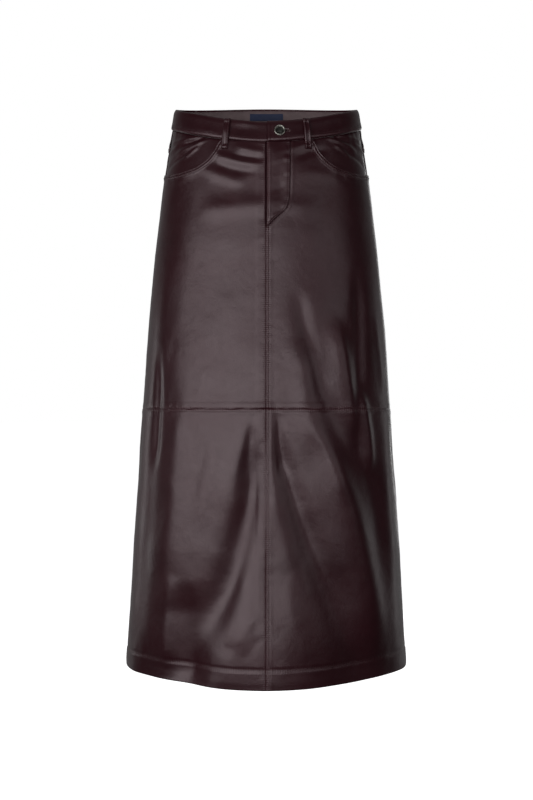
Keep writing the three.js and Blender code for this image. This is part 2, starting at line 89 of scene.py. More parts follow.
# Soft folds and creases: where each starts and ends (angle, height), how far its middle bows to
# the wearer's left, its width at both ends, and its depth, less than nothing for a trough
FOLDS = [
    (-5, -462, -34, -835, 22, 12, 28, -12),
    (-41, -705, -33, -890, 0, 32, 32, -10),
    (-44, -695, -46, -860, 0, 15, 14, 5),
    (-21, -852, -70, -834, 0, 36, 38, -6),
    (-6, -446, -15, -600, 2, 5, 12, -1.5),
    (4.6, -444, 10, -560, 0, 4.5, 9, -2),
    (-62, -350, -60, -560, 0, 9, 10, -3.5),
    (-5, -640, -17, -920, 0, 14, 22, 3),
    (-43, -400, -48, -790, 0, 15, 22, 2),
    (-62, -380, -66, -850, 4, 14, 20, -1.5),
    (3, -458, 55, -905, -15, 11, 36, -9.5),
    (20, -430, 50, -860, 17, 20, 32, 11.5),
    (50, -405, 54, -565, 0, 10, 12, 5.5),
    (18, -330, 23, -530, 0, 22, 24, 4),
    (38, -400, 62, -720, 10, 14, 22, -3),
    (68, -430, 66, -860, -4, 18, 26, 2.5),
    (16, -260, 32, -474, 0, 13, 14, -3.4),
    (36, -300, 45, -515, 0, 16, 19, 8.5),
    (14, -862, 78, -846, 0, 42, 44, -4.5),
    (0, -690, 0, -1120, 0, 66, 66, 8.5),
    (54, -220, 48, -460, 4, 12, 14, -3),
    (-60, -210, -66, -470, 0, 16, 20, 0.8),
    (150, -250, 140, -890, 10, 18, 36, -7),
    (-147, -240, -141, -890, -8, 18, 38, -7),
    (164, -420, 160, -890, 0, 18, 30, 4),
    (-166, -400, -158, -890, 0, 18, 30, 4),
    (108, -330, 116, -890, -8, 16, 30, -5),
    (-106, -360, -117, -890, 6, 16, 28, -5),
]
CREASES = [
    (-22, -53, 2, -65, -1, 7, 6, 1.3),
    (-23, -66, 1, -75, -2, 4, 4, -1),
    (-38, -58, 2, -81, -7, 6, 7, 1.9),
    (-37, -74, -4, -95, -5, 5, 6, -1.2),
    (-44, -78, -10, -112, -5, 8, 9, 1.5),
    (-44, -150, 6, -143, 0, 15, 15, 2.4),
    (-6, -140, 34, -150, 0, 13, 13, 1.1),
    (14, -62, 34, -46, 3, 6, 6, 1.4),
    (15, -76, 44, -56, 4, 6, 7, -1.2),
    (15, -96, 52, -104, 5, 10, 10, 0.9),
    (36, -80, 62, -108, 4, 7, 8, 0.8),
    (-36, -84, -66, -112, -4, 7, 8, 0.8),
    (-7, -470, -12, -560, 3, 6, 8, -0.8),
    (-4, -466, -7, -600, 2, 6, 8, 0.6),
    (5.5, -468, 8, -560, -2, 5, 8, -1.1),
    (2.6, -462, 4, -640, 0, 5, 8, 0.6),
    (-6, -760, -19, -818, 2, 7, 9, -1),
    (-3, -746, -15, -806, 2, 6, 8, 1.3),
    (-2, -782, -10, -824, 1, 6, 7, -0.7),
    (3, -772, 16, -790, 2, 12, 12, -0.5),
    (8, -690, 15, -800, -3, 11, 12, 0.8),
    (-24, -470, -32, -640, 3, 9, 14, 1.1),
    (-30, -480, -36, -600, 0, 8, 10, -1),
    (22, -468, 36, -600, 3, 9, 12, 1.4),
    (-50, -330, -58, -446, 0, 8, 10, -0.5),
    (-30, -380, -36, -446, 0, 8, 9, 0.8),
    (66, -300, 72, -440, 0, 9, 10, 1.1),
    (78, -470, 82, -600, 2, 8, 12, -1.4),
    (-78, -466, -84, -590, -2, 8, 12, -1.3),
    (128, -120, 172, -160, -6, 9, 10, -1.6),
    (134, -138, 170, -186, -6, 8, 10, 1.2),
    (-126, -118, -171, -154, 6, 9, 10, -1.6),
    (-132, -136, -168, -180, 6, 8, 10, 1.2),
    (98, -96, 128, -150, 4, 9, 10, 1),
    (-97, -98, -126, -146, -4, 9, 10, 1),
    (176, -466, 170, -600, 2, 6, 9, -1.8),
    (-175, -468, -168, -590, -2, 6, 9, -1.6),
    (150, -466, 146, -600, 0, 8, 12, 1.3),
    (-152, -466, -147, -610, 0, 8, 12, 1.2),
    (126, -466, 124, -580, 0, 7, 11, -1.2),
    (-128, -466, -130, -600, 0, 7, 11, -1.3),
    (172, -780, 158, -822, 2, 8, 9, -1.3),
    (-170, -772, -154, -816, -2, 8, 9, -1.3),
    (104, -420, 112, -452, 0, 7, 8, 0.9),
    (-112, -410, -118, -450, 0, 7, 8, 0.9),
]
FOLD_FADE = 0.3

# The cloth's slow waves, as wave lengths with their heights
WAVES = [(150, 0.5), (95, 0.28), (60, 0.13), (38, 0.06), (24, 0.025)]
WAVES_PER_LENGTH = 7

# Front pockets, fly and yoke
POCKET_MOUTH = np.array([
    (30, 0), (32, 8), (34.8, 23), (38.5, 35), (43.6, 46), (50.3, 54.5), (59.5, 62.5), (70, 68), (90, 72),
], float)
POCKET_FACING = np.array([(0, 24), (30, 26), (50, 31), (68, 41), (85, 58), (100, 86)], float)
FLY = np.array([(0, 35.5), (70, 35), (90, 33.5), (104, 28), (117, 13), (128, 2.5)], float)
FLY_EDGE = 0.8
FLY_WALL = 1
FLY_LENGTH = 128
FLY_GROOVE, FLY_TURN, FLY_RIDGE, FLY_REACH, FLY_ROLL = 2.4, 2.6, 0.9, 100, 1.7
YOKE_SIDE, YOKE_BACK, YOKE_LAP, YOKE_RISE = 35, 62, 8, 24

# Waistband: its two ends lap at the centre front
BAND_WALL = 3
LAP_END, LAP_FLAT, LAP_BLEND, LAP_LIFT = 0.5, 15, 30, 1.75
UNDER_BLEND, UNDER_FLAT, UNDER_END, UNDER_SINK = 340, 356, 374, 1.85
BAND_END_ROUND, LAP_ROLL = 1.6, 0.7
# Its section, as (out, up) points up the face, over the rolled top and down the inside
BAND_FACE = [
    (0.3, 0.02), (0.9, 0.35), (1.4, 1), (1.85, 2), (2.15, 3.2), (2.26, 4.4), (2.22, 5.6), (2.08, 7.2),
    (1.9, 9), (1.76, 11.5), (1.68, 15), (1.66, 19), (1.62, 22.5),
    (1.52, 25.2), (1.25, 27.2), (0.85, 28.9), (0.3, 30.5), (-0.35, 31.6), (-1.1, 32.3), (-1.9, 32.5),
]
BAND_INSIDE = [
    (-2.6, 32.45), (-3.15, 32.1), (-3.3, 31.5), (-3.05, 30.7), (-2.6, 29.5), (-2.05, 28), (-1.5, 26.4),
    (-1.5, 22), (-1.5, 16), (-1.5, 10), (-1.5, 5), (-1.5, 1.3), (-1.2, 0.35), (-0.6, 0.05),
]
BAND_ROW, BAND_ROW_DEPTH = 6.2, 0.3
# Dents and swellings of the band: angle, height, half width in degrees, half height and depth
BAND_DENTS = [
    (-13, 19, 12, 8, -1.7),
    (-40, 9, 9, 5, 0.9),
    (-60, 20, 12, 8, -1.1),
    (24, 8, 8, 5, 0.8),
    (52, 17, 14, 7, -0.8),
    (130, 16, 20, 8, -0.9),
    (-150, 15, 22, 8, -0.9),
]
FACING_FROM, FACING_TO, FACING_WALL, FACING_MARGIN = 17, 338, 0.8, 3
BAND_ROLL, BAND_LEAN = 6, 2.2

# Belt loops, waist button, buttonhole and label
LOOP_WIDTH, LOOP_WALL, LOOP_LENGTH, LOOP_BOW = 10, 1.6, 47, 2.6
LOOP_BELOW_TOP, LOOP_BOW_LENGTH, LOOP_SEAT = 1, 40.5, 44
LOOPS = {
    "belt_loop_front_left": 27,
    "belt_loop_front_right": -27,
    "belt_loop_side_left": 118,
    "belt_loop_side_right": -118,
    "belt_loop_centre_back": 180,
}
BUTTON_ACROSS, BUTTON_HEIGHT, BUTTON_SHANK = 19.6, 16.5, 2
HOLE_RADIUS, HOLE_LENGTH, HOLE_NARROW = 2.7, 12.5, 0.28
LABEL_WIDTH, LABEL_HEIGHT, LABEL_FROM_TOP, LABEL_WALL = 55, 11, 7.5, 0.5
ZIP_TOP, ZIP_FOOT, ZIP_HALF, ZIP_TAPE = 3, 122, 14, 0.8

# How sewing shapes the cloth beside it, and the parts of its pull on the finish
LEVEL, PLUMB, WEAR = 0, 1, 2
ROW_ASIDE = 3.4
SEAM_DEPTH, SEAM_ROLL = 0.14, 0.6
SEAM_LIP, SEAM_LIP_AT = 0.16, 1.7
SEWN_GAP = 0.03
PUCKER_REACH, PUCKER_SPACING = 9, 7.5
ROW_DEPTH, ROW_WIDTH = 0.5, 0.9
PULL_REACH = 4.5
CROSSING_LIFT, CROSSING_REACH = 0.8, 7
HEM_GROOVE, HEM_GROOVE_WIDTH, HEM_SWELL = 1.0, 1.3, 0.55
MOUTH_RISE, MOUTH_WIDTH = 1.2, 8.6
MOUTH_ROW_DEPTH = 1
MOUTH_ROWS = (2.7, 7.2)
# Upright seams: angle, allowance lift and reach to the wearer's left, then to the right, and the
# distance of a row of stitches to the left
PLUMB_SEAMS = [
    (0, 0.3, 8, 0.45, 15, ROW_ASIDE),
    (90, 0.3, 10, 0.3, 10, None),
    (180, 0.3, 12, 0.4, 12, ROW_ASIDE),
    (-90, 0.3, 10, 0.3, 10, None),
]

YOKE_ROWS = (1.6, 6.4)
BAND_ROW_OUT = 1.95
STITCHES_AT_ONCE = 40

# Studio, in metres
FLOOR_HEIGHT = -1.15
CAMERA_DISTANCE, CAMERA_HEIGHT = 2.2, -0.4375
CAMERA_LENS, CAMERA_SENSOR = 62.66, 36
BARE_METAL = (0.42, 0.41, 0.37)
WHITE = (1, 1, 1, 1)


def mix(a, b, t):
    return a + (b - a) * t


def ease(low, high, x):
    t = np.clip((x - low) / (high - low), 0, 1)
    return t * t * (3 - 2 * t)


def bell(distance, width):
    return np.exp(-((distance / width) ** 2))


def between(table, column, at):
    """A smooth value of one column between a table's rows, which run in order of the first one."""
    keys, values = table[:, 0], table[:, column]
    sign = np.sign(keys[-1] - keys[0])
    i = np.clip(np.searchsorted(sign * keys, sign * at) - 1, 0, len(keys) - 2)
    order = np.arange(len(keys))
    low, high = np.maximum(order - 1, 0), np.minimum(order + 1, len(keys) - 1)
    slopes = (values[high] - values[low]) / (keys[high] - keys[low])
    span = keys[i + 1] - keys[i]
    rise = values[i + 1] - values[i]
    t = np.clip((at - keys[i]) / span, 0, 1)
    c = slopes[i] * span - rise
    d = rise - slopes[i + 1] * span
    return values[i] + rise * t + t * (1 - t) * (c * (1 - t) + d * t)


def uneven(along, seed, spacing=PUCKER_SPACING):
    """Waves of uneven height and length along a line, from -1 to 1."""
    knots = np.random.default_rng(seed).uniform(-1, 1, 997)
    place = np.asarray(along) / spacing + 400
    i = np.floor(place).astype(int)
    t = ease(0, 1, place - i)
    return mix(knots[i % 997], knots[(i + 1) % 997], t)


# The form

def band_top(angle):
    c = np.cos(np.radians(angle))
    tilt = WAIST_DIP_SHARE * (1 - c) + (1 - WAIST_DIP_SHARE) * (1 - c * c)
    front = mix(WAIST_FRONT, WAIST_SIDE, tilt)
    return np.where(c < 0, WAIST_SIDE - (WAIST_BACK - WAIST_SIDE) * c, front)


def waist_seam(angle):
    return band_top(angle) - BAND_HEIGHT


def hem_line(angle):
    c = np.cos(np.radians(angle))
    return mix(HEM_SIDE, np.where(c > 0, HEM_FRONT, HEM_BACK), c * c)


def yoke_depth(angle):
    return mix(YOKE_SIDE, YOKE_BACK, np.abs(np.cos(np.radians(angle))))


def beyond(angle, centre):
    """Degrees to the wearer's left of a centre line, from -180 to 180."""
    turn = angle - centre
    return turn - 360 * np.round(turn / 360)


def pushed(folds, angle, z):
    """How far folds push the cloth out."""
    push = np.zeros(np.shape(z))
    for from_angle, from_z, to_angle, to_z, bow, start, end, depth in folds:
        turn = beyond(angle, from_angle)
        along_x = (to_angle - from_angle) * MM_PER_DEGREE
        along_z = to_z - from_z
        length = math.hypot(along_x, along_z)
        x, y = turn * MM_PER_DEGREE, z - from_z
        t = (x * along_x + y * along_z) / length**2
        aside = (y * along_x - x * along_z) / length - bow * 4 * t * (1 - t)
        fade = ease(0, FOLD_FADE, t) * (1 - ease(1 - FOLD_FADE, 1, t))
        push += depth * fade * bell(aside, mix(start, end, np.clip(t, 0, 1)))
    return push


def skin(angle, z):
    """The outer face of the plain form."""
    turn = np.radians(angle)
    heading = np.arctan2(ANGLE_STRETCH * np.sin(turn), np.cos(turn))
    s, c = np.sin(heading), np.cos(heading)
    half = between(SECTIONS, 1, z)
    depth = np.where(c > 0, between(SECTIONS, 2, z), between(SECTIONS, 3, z))
    n = between(SECTIONS, 4, z)
    r = (np.abs(s / half) ** n + np.abs(c / depth) ** n) ** (-1 / n) + pushed(FOLDS, angle, z)
    return np.stack([r * s, -r * c, z + 0 * r], axis=-1)


def across(angle, z):
    """The cloth's run in one degree."""
    return skin(angle + PROBE_DEGREES, z) - skin(angle - PROBE_DEGREES, z)


def unit(vectors):
    return vectors / np.linalg.norm(vectors, axis=-1, keepdims=True)


def outward(angle, z):
    up = skin(angle, z + PROBE_HEIGHT) - skin(angle, z - PROBE_HEIGHT)
    return unit(np.cross(across(angle, z), up))


def off(angle, z, out):
    return skin(angle, z) + outward(angle, z) * np.asarray(out)[..., None]


def degrees_for(distance, angle, z):
    return distance / np.linalg.norm(across(angle, z), axis=-1)


def angle_across(distance, z):
    """The angle at which the front of the cloth is a distance to the side of the centre."""
    low, high = np.zeros(np.shape(z)), np.full(np.shape(z), 90.0)
    for _ in range(24):
        middle = (low + high) / 2
        short = skin(middle, z)[..., 0] < distance
        low, high = np.where(short, middle, low), np.where(short, high, middle)
    return low


def angle_of(point):
    """The angle of points near the cloth."""
    heading = np.arctan2(point[..., 0], -point[..., 1])
    return np.degrees(np.arctan2(np.sin(heading) / ANGLE_STRETCH, np.cos(heading)))


def slow_waves(points):
    """Waves that run all round the cloth, too slow to see as folds."""
    rng = np.random.default_rng(7)
    push = np.zeros(points.shape[:-1])
    for length, height in WAVES:
        for _ in range(WAVES_PER_LENGTH):
            way = unit(rng.normal(size=3)) * (2 * math.pi / length)
            push += height / WAVES_PER_LENGTH**0.5 * np.sin(points @ way + rng.uniform(0, 6.28))
    return push


def nearest(points, line):
    """The distance of points from a line of short steps, and how far along it they are."""
    best = np.full(points.shape[:-1], np.inf)
    where = np.zeros(points.shape[:-1])
    start = 0
    for a, b in zip(line[:-1], line[1:]):
        step = b - a
        length = np.linalg.norm(step)
        t = np.clip((points - a) @ step / length**2, 0, 1)
        d = np.linalg.norm(points - a - t[..., None] * step, axis=-1)
        closer = d < best
        best = np.where(closer, d, best)
        where = np.where(closer, start + t * length, where)
        start += length
    return best, where


def mouth_line(side):
    """The edge of a front pocket."""
    angle = np.linspace(POCKET_MOUTH[0, 0], 90, 90)
    z = waist_seam(angle) - between(POCKET_MOUTH, 1, angle)
    return skin(side * angle, z)


def seam_push(d, along, lift, reach, seed):
    """How a plain seam shapes the cloth at a distance from it."""
    valley = SEAM_LIP * bell(d - SEAM_LIP_AT, SEAM_ROLL) - SEAM_DEPTH * bell(d, SEAM_ROLL)
    allowance = lift * ease(0.5, 3, d) * (1 - ease(reach - 2.5, reach + 2.5, d))
    pucker = pucker_height() * uneven(along, seed) * bell(d, PUCKER_REACH) * ease(0, 2, d)
    return valley + allowance + pucker


def pucker_height():
    return bpy.context.scene.skirt_sizes.pucker / MM


def upright_seams(push, pull, angle, z, per_degree):
    for seam, left, left_reach, right, right_reach, row in PLUMB_SEAMS:
        d = beyond(angle, seam) * per_degree
        sewn = ease(-FLY_LENGTH - 50, -FLY_LENGTH - 30, -z) if seam == 0 else 1
        push += np.where(
            d > 0,
            seam_push(d, z, left * sewn, left_reach, seam + 211),
            seam_push(-d, z, right * sewn, right_reach, seam + 212),
        )
        if row:
            push -= sewn * ROW_DEPTH * bell(d - row, ROW_WIDTH)
        pull[..., PLUMB] += bell(np.abs(d) - 1.5, PULL_REACH) * sewn
        pull[..., WEAR] += bell(np.abs(d) - 1.6, 0.9)


def thigh_seam(push, pull, angle, z, per_degree):
    along = angle * MM_PER_DEGREE
    d = z - THIGH_SEAM
    push += np.where(d > 0, seam_push(d, along, 0.25, 9, 31), seam_push(-d, along, 0.45, 9, 32))
    push -= ROW_DEPTH * 0.8 * bell(d + ROW_ASIDE, ROW_WIDTH)
    pull[..., LEVEL] += bell(d + 1, PULL_REACH)
    pull[..., WEAR] += bell(np.abs(d) - 1.6, 0.9)
    for centre in (0, 180):
        x = beyond(angle, centre) * per_degree
        on_seam = bell(np.minimum(abs(d), abs(x)), 1)
        push += CROSSING_LIFT * bell(np.hypot(x, d), CROSSING_REACH) * (1 - on_seam)


def hem(push, pull, angle, z):
    d = z - hem_line(angle) - TURNUP
    push -= HEM_GROOVE * bell(d, HEM_GROOVE_WIDTH)
    push += HEM_SWELL * (1 - ease(-3.5, -0.5, d)) * ease(-TURNUP, -TURNUP + 12, d)
    ripple = uneven(angle * MM_PER_DEGREE, 41, 11)
    push += pucker_height() * 1.3 * ripple * bell(d, 13) * ease(0, 1.5, abs(d))
    pull[..., LEVEL] += bell(d, PULL_REACH + 1)
    pull[..., WEAR] += bell(d + 2.4, 1)


def under_waistband(push, angle, z):
    d = waist_seam(angle) - z
    push += pucker_height() * 1.6 * uneven(angle * MM_PER_DEGREE, 51, 10) * bell(d, 14)
    push -= 0.8 * bell(d, 1.3)


def fly_opening(push, angle, z, base, per_degree, side):
    """Turns the cloth in at the opening, and presses it down beside the fly's sewn edge."""
    down = waist_seam(angle) - z
    opened = 1 - ease(FLY_LENGTH - 6, FLY_LENGTH + 4, down)
    push -= FLY_GROOVE * opened * (1 - ease(0, FLY_TURN, abs(angle) * per_degree))
    if side > 0:
        edge = FLY_EDGE + between(FLY, 1, down)
        beside = np.where(down < FLY_LENGTH, base[..., 0] - edge, FLY_REACH)
        push += FLY_RIDGE * bell(beside - 3, 1.8) - FLY_RIDGE * bell(beside, 1.2)


def pocket_mouth(push, pull, base, side):
    far, run = nearest(base, mouth_line(side))
    push += MOUTH_RISE * ease(-0.6, 0.9, far) * (1 - ease(MOUTH_WIDTH - 1, MOUTH_WIDTH + 1, far))
    push -= 0.9 * bell(far, 0.7)
    for row in MOUTH_ROWS:
        push -= MOUTH_ROW_DEPTH * bell(far - row, 0.95)
    push += pucker_height() * 1.5 * uneven(run, 63 + side, 6) * bell(far - 4, 8)
    pull[..., LEVEL] += bell(far - 4, 5)
    pull[..., WEAR] += bell(far - 1, 0.8) + 0.7 * bell(far - 5, 0.8)


def relief(angle, z, mouth=0):
    """How far sewing, creases and slow waves push the cloth out, and the pull of the stitches.

    The pull has three parts: along level seams, along upright seams, and wear."""
    base = skin(angle, z)
    per_degree = np.linalg.norm(across(angle, z), axis=-1)
    push = np.array(slow_waves(base) + pushed(CREASES, angle, z))
    pull = np.zeros(np.shape(z) + (3,))
    upright_seams(push, pull, angle, z, per_degree)
    thigh_seam(push, pull, angle, z, per_degree)
    hem(push, pull, angle, z)
    under_waistband(push, angle, z)
    if mouth:
        fly_opening(push, angle, z, base, per_degree, mouth)
        pocket_mouth(push, pull, base, mouth)
    return push, pull


def cloth(angle, z, out=0, mouth=0):
    """Points of the cloth's outer face as it is sewn, raised by a distance."""
    return off(angle, z, relief(angle, z, mouth)[0] + out)


# Meshes

def graded(length, step, fine, growth=1.25):
    """Shares of a length that stand close together at both ends."""
    marks, gap = [0.0], fine
    while marks[-1] + gap < length / 2:
        marks.append(marks[-1] + gap)
        gap = min(step, gap * growth)
    half = np.array(marks) * (length / 2) / (marks[-1] + gap / 2)
    return np.concatenate([half, length - half[::-1]]) / length


def grid_object(name, points, uv, sewing=None, ring=False):
    """A sheet over rows and columns of points, or a closed ring whose columns go all round."""
    rows, columns = points.shape[:2]
    bm = bmesh.new()
    bmesh.ops.create_grid(bm, x_segments=columns - 1, y_segments=rows - 1, size=0.5)
    mesh = bpy.data.meshes.new(name)
    bm.to_mesh(mesh)
    bm.free()
    flat = np.empty(len(mesh.vertices) * 3)
    mesh.vertices.foreach_get("co", flat)
    flat = flat.reshape(-1, 3)
    share = (flat - flat.min(0)) / np.maximum(np.ptp(flat, axis=0), 1e-9)
    column = np.rint(share[:, 0] * (columns - 1)).astype(int)
    row = np.rint((1 - share[:, 1]) * (rows - 1)).astype(int)
    mesh.vertices.foreach_set("co", (points[row, column] * MM).ravel())
    corner = np.empty(len(mesh.loops), int)
    mesh.loops.foreach_get("vertex_index", corner)
    layer = mesh.uv_layers.new(name="UVMap")
    layer.data.foreach_set("uv", (uv[row, column][corner] * MM).ravel())
    if sewing is not None:
        pull = mesh.attributes.new("sewing", "FLOAT_VECTOR", "POINT")
        pull.data.foreach_set("vector", sewing[row, column].astype(np.float32).ravel())
    if ring:
        close_ring(mesh)
    else:
        sharpen_rim(mesh, row, column)
        face = np.cross(points[0, 1] - points[0, 0], points[0, 0] - points[1, 0])
        if face @ (points[0, 0] * (1, 1, 0)) < 0:
            mesh.flip_normals()
    mesh.shade_smooth()
    mesh.update()
    piece = bpy.data.objects.new(name, mesh)
    bpy.context.scene.collection.objects.link(piece)
    return piece


def sharpen_rim(mesh, row, column):
    """Marks the outer edges of a sheet as sharp, so that its wall doesn't shade its face."""
    ends = np.empty(len(mesh.edges) * 2, int)
    mesh.edges.foreach_get("vertices", ends)
    a, b = ends.reshape(-1, 2).T
    rim = np.zeros(len(mesh.edges), bool)
    for place in (row, column):
        rim |= (place[a] == place[b]) & np.isin(place[a], (0, place.max()))
    mesh.attributes.new("sharp_edge", "BOOLEAN", "EDGE").data.foreach_set("value", rim)


def close_ring(mesh):
    """Welds the seam of a ring and caps its ends."""
    bm = bmesh.new()
    bm.from_mesh(mesh)
    bmesh.ops.remove_doubles(bm, verts=bm.verts, dist=1e-6)
    rim = [e for e in bm.edges if e.is_boundary]
    bmesh.ops.holes_fill(bm, edges=rim, sides=0)
    bmesh.ops.recalc_face_normals(bm, faces=bm.faces)
    bm.to_mesh(mesh)
    bm.free()


def bmesh_object(name, bm, smooth=True):
    mesh = bpy.data.meshes.new(name)
    bmesh.ops.recalc_face_normals(bm, faces=bm.faces)
    bm.to_mesh(mesh)
    bm.free()
    if smooth:
        mesh.shade_smooth()
    piece = bpy.data.objects.new(name, mesh)
    bpy.context.scene.collection.objects.link(piece)
    return piece


def give_wall(piece, thickness):
    wall = piece.modifiers.new("Wall", "SOLIDIFY")
    wall.thickness = thickness
    wall.offset = -1
    wall.material_offset = 1


def place_piece(piece, slot, materials, *nodes):
    """Says what a piece is made of, and which nodes it stands for."""
    if nodes:
        piece.name = piece.data.name = f"made_{nodes[0]}"
    for material in materials:
        piece.data.materials.append(material)
    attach(piece, "root")
    if nodes:
        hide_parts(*nodes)


# Finishes

def new_finish(name, roughness, **sockets):
    """An empty procedural material, with what is the same all over it set on its shader."""
    material = bpy.data.materials.new(name)
    material.use_nodes = True
    shader = material.node_tree.nodes["Principled BSDF"]
    shader.inputs["Roughness"].default_value = roughness
    for socket, value in sockets.items():
        shader.inputs[socket.replace("_", " ")].default_value = value
    return material, material.node_tree, shader


def node(tree, kind, links=None, **settings):
    """Adds a node, sets what it has, and links or sets its inputs."""
    made = tree.nodes.new(kind)
    for key, value in settings.items():
        setattr(made, key, value)
    for socket, source in (links or {}).items():
        if isinstance(source, bpy.types.NodeSocket):
            tree.links.new(source, made.inputs[socket])
        else:
            made.inputs[socket].default_value = source
    return made


def math_node(tree, operation, *values):
    return node(tree, "ShaderNodeMath", dict(enumerate(values)), operation=operation).outputs[0]


def tone(tree, fac, low, high, start=0.3, end=0.7):
    """A colour that runs from one to another as a pattern goes from start to end."""
    ramp = node(tree, "ShaderNodeValToRGB", {"Fac": fac})
    ramp.color_ramp.elements[0].position = start
    ramp.color_ramp.elements[0].color = (*low, 1)
    ramp.color_ramp.elements[1].position = end
    ramp.color_ramp.elements[1].color = (*high, 1)
    return ramp.outputs["Color"]


def blend(tree, factor, first, second):
    links = {"Factor": factor, 6: first, 7: second}
    return node(tree, "ShaderNodeMix", links, data_type="RGBA").outputs[2]


def in_range(tree, value, low, high, from_low=0.0, from_high=1.0):
    links = {"Value": value, "From Min": from_low, "From Max": from_high, "To Min": low, "To Max": high}
    return node(tree, "ShaderNodeMapRange", links).outputs["Result"]


def bump(tree, height, depth, strength=1.0, under=None):
    links = {"Height": height, "Distance": depth, "Strength": strength}
    if under is not None:
        links["Normal"] = under
    return node(tree, "ShaderNodeBump", links).outputs["Normal"]


def noise_of(tree, where, scale, detail=3.0, distortion=0.0):
    links = {"Vector": where, "Scale": scale, "Detail": detail, "Distortion": distortion}
    return node(tree, "ShaderNodeTexNoise", links).outputs["Fac"]


def shaded(colour, share):
    return tuple(min(1.0, c * share) for c in colour)


def leather_finish():
    """Smooth leather with a fine grain, faint creasing, and stitches that pull at it."""
    found = bpy.data.materials.get("oxblood_leather")
    if found:
        return found
    colour = tuple(bpy.context.scene.skirt_colours.leather)
    material, tree, shader = new_finish(
        "oxblood_leather", 0.36, Coat_Weight=0.12, Coat_Roughness=0.25, IOR=1.5,
        Specular_Tint=(1, 0.83, 0.88, 1),
    )
    where = node(tree, "ShaderNodeTexCoord").outputs["Object"]
    uv = node(tree, "ShaderNodeSeparateXYZ", {0: node(tree, "ShaderNodeUVMap").outputs["UV"]})
    sewing = node(tree, "ShaderNodeAttribute", attribute_name="sewing").outputs["Vector"]
    sewing = node(tree, "ShaderNodeSeparateXYZ", {0: sewing})
    clouds = noise_of(tree, where, 14.0, 4.0, 0.4)
    mottle = noise_of(tree, where, 120.0, 3.0, 0.2)
    base = tone(tree, clouds, shaded(colour, 0.86), shaded(colour, 1.12))
    rubbed = math_node(tree, "MULTIPLY", sewing.outputs["Z"], 0.35)
    worn = blend(tree, rubbed, base, (*shaded(colour, 1.9), 1))
    dark = in_range(tree, mottle, 0.0, 0.22, 0.45, 0.75)
    speck = blend(tree, dark, worn, (*shaded(colour, 0.7), 1))
    tree.links.new(speck, shader.inputs["Base Color"])
    rough = math_node(tree, "ADD", in_range(tree, clouds, 0.33, 0.4, 0.3, 0.7),
                      in_range(tree, mottle, -0.02, 0.03, 0.3, 0.7))
    tree.links.new(rough, shader.inputs["Roughness"])
    cells = node(
        tree, "ShaderNodeTexVoronoi", {"Vector": where, "Scale": 850.0}, feature="DISTANCE_TO_EDGE"
    ).outputs["Distance"]
    pores = noise_of(tree, where, 2400.0, 2.0)
    creased = noise_of(tree, where, 30.0, 4.0, 0.3)
    fine = noise_of(tree, where, 300.0, 3.0, 0.3)
    pitch = 2 * math.pi / bpy.context.scene.skirt_sizes.stitch_pitch
    pulls = []
    for way, mask in (("X", "X"), ("Y", "Y")):
        wave = math_node(tree, "SINE", math_node(tree, "MULTIPLY", uv.outputs[way], pitch))
        pulls.append(math_node(tree, "MULTIPLY", wave, sewing.outputs[mask]))
    pull = math_node(tree, "ADD", *pulls)
    normal = bump(tree, creased, 0.0009)
    normal = bump(tree, pull, 0.0001, under=normal)
    normal = bump(tree, fine, 0.0001, 0.8, normal)
    normal = bump(tree, cells, 0.00012, 0.7, normal)
    normal = bump(tree, pores, 0.00003, 0.5, normal)
    tree.links.new(normal, shader.inputs["Normal"])
    return material


def fabric_finish(name, colour, threads_per_metre, roughness=0.85, sheen=0.2, slubs=0.5):
    """A plain weave that follows the piece's own map."""
    found = bpy.data.materials.get(name)
    if found:
        return found
    material, tree, shader = new_finish(name, roughness, Sheen_Weight=sheen, Sheen_Roughness=0.5)
    uv = node(tree, "ShaderNodeSeparateXYZ", {0: node(tree, "ShaderNodeUVMap").outputs["UV"]})
    where = node(tree, "ShaderNodeTexCoord").outputs["Object"]
    turns = math.pi * threads_per_metre
    warp = math_node(tree, "SINE", math_node(tree, "MULTIPLY", uv.outputs["X"], turns))
    weft = math_node(tree, "SINE", math_node(tree, "MULTIPLY", uv.outputs["Y"], turns))
    over = math_node(tree, "MULTIPLY", warp, weft)
    weave = math_node(tree, "ABSOLUTE", over)
    blotch = noise_of(tree, where, 60.0, 4.0)
    thread = noise_of(tree, where, 900.0, 2.0)
    base = tone(tree, blotch, shaded(colour, 0.8), shaded(colour, 1.15))
    under = in_range(tree, over, 0.0, slubs, -1.0, 1.0)
    mixed = blend(tree, under, base, (*shaded(colour, 0.6), 1))
    tree.links.new(mixed, shader.inputs["Base Color"])
    normal = bump(tree, weave, 0.00012)
    normal = bump(tree, thread, 0.00006, 0.6, normal)
    tree.links.new(normal, shader.inputs["Normal"])
    return material


def backing_finish():
    colours = bpy.context.scene.skirt_colours
    return fabric_finish("knitted_backing", tuple(colours.backing), 900, 0.92, 0.3)


def facing_finish():
    colours = bpy.context.scene.skirt_colours
    return fabric_finish("woven_facing", tuple(colours.facing), 1600, 0.75, 0.25, 0.35)


def tape_finish():
    return fabric_finish("zip_tape_weave", tuple(bpy.context.scene.skirt_colours.tape), 1500, 0.85)


def label_finish():
    colours = bpy.context.scene.skirt_colours
    return fabric_finish("damask_label", tuple(colours.label), 4200, 0.6, 0.3, 0.4)


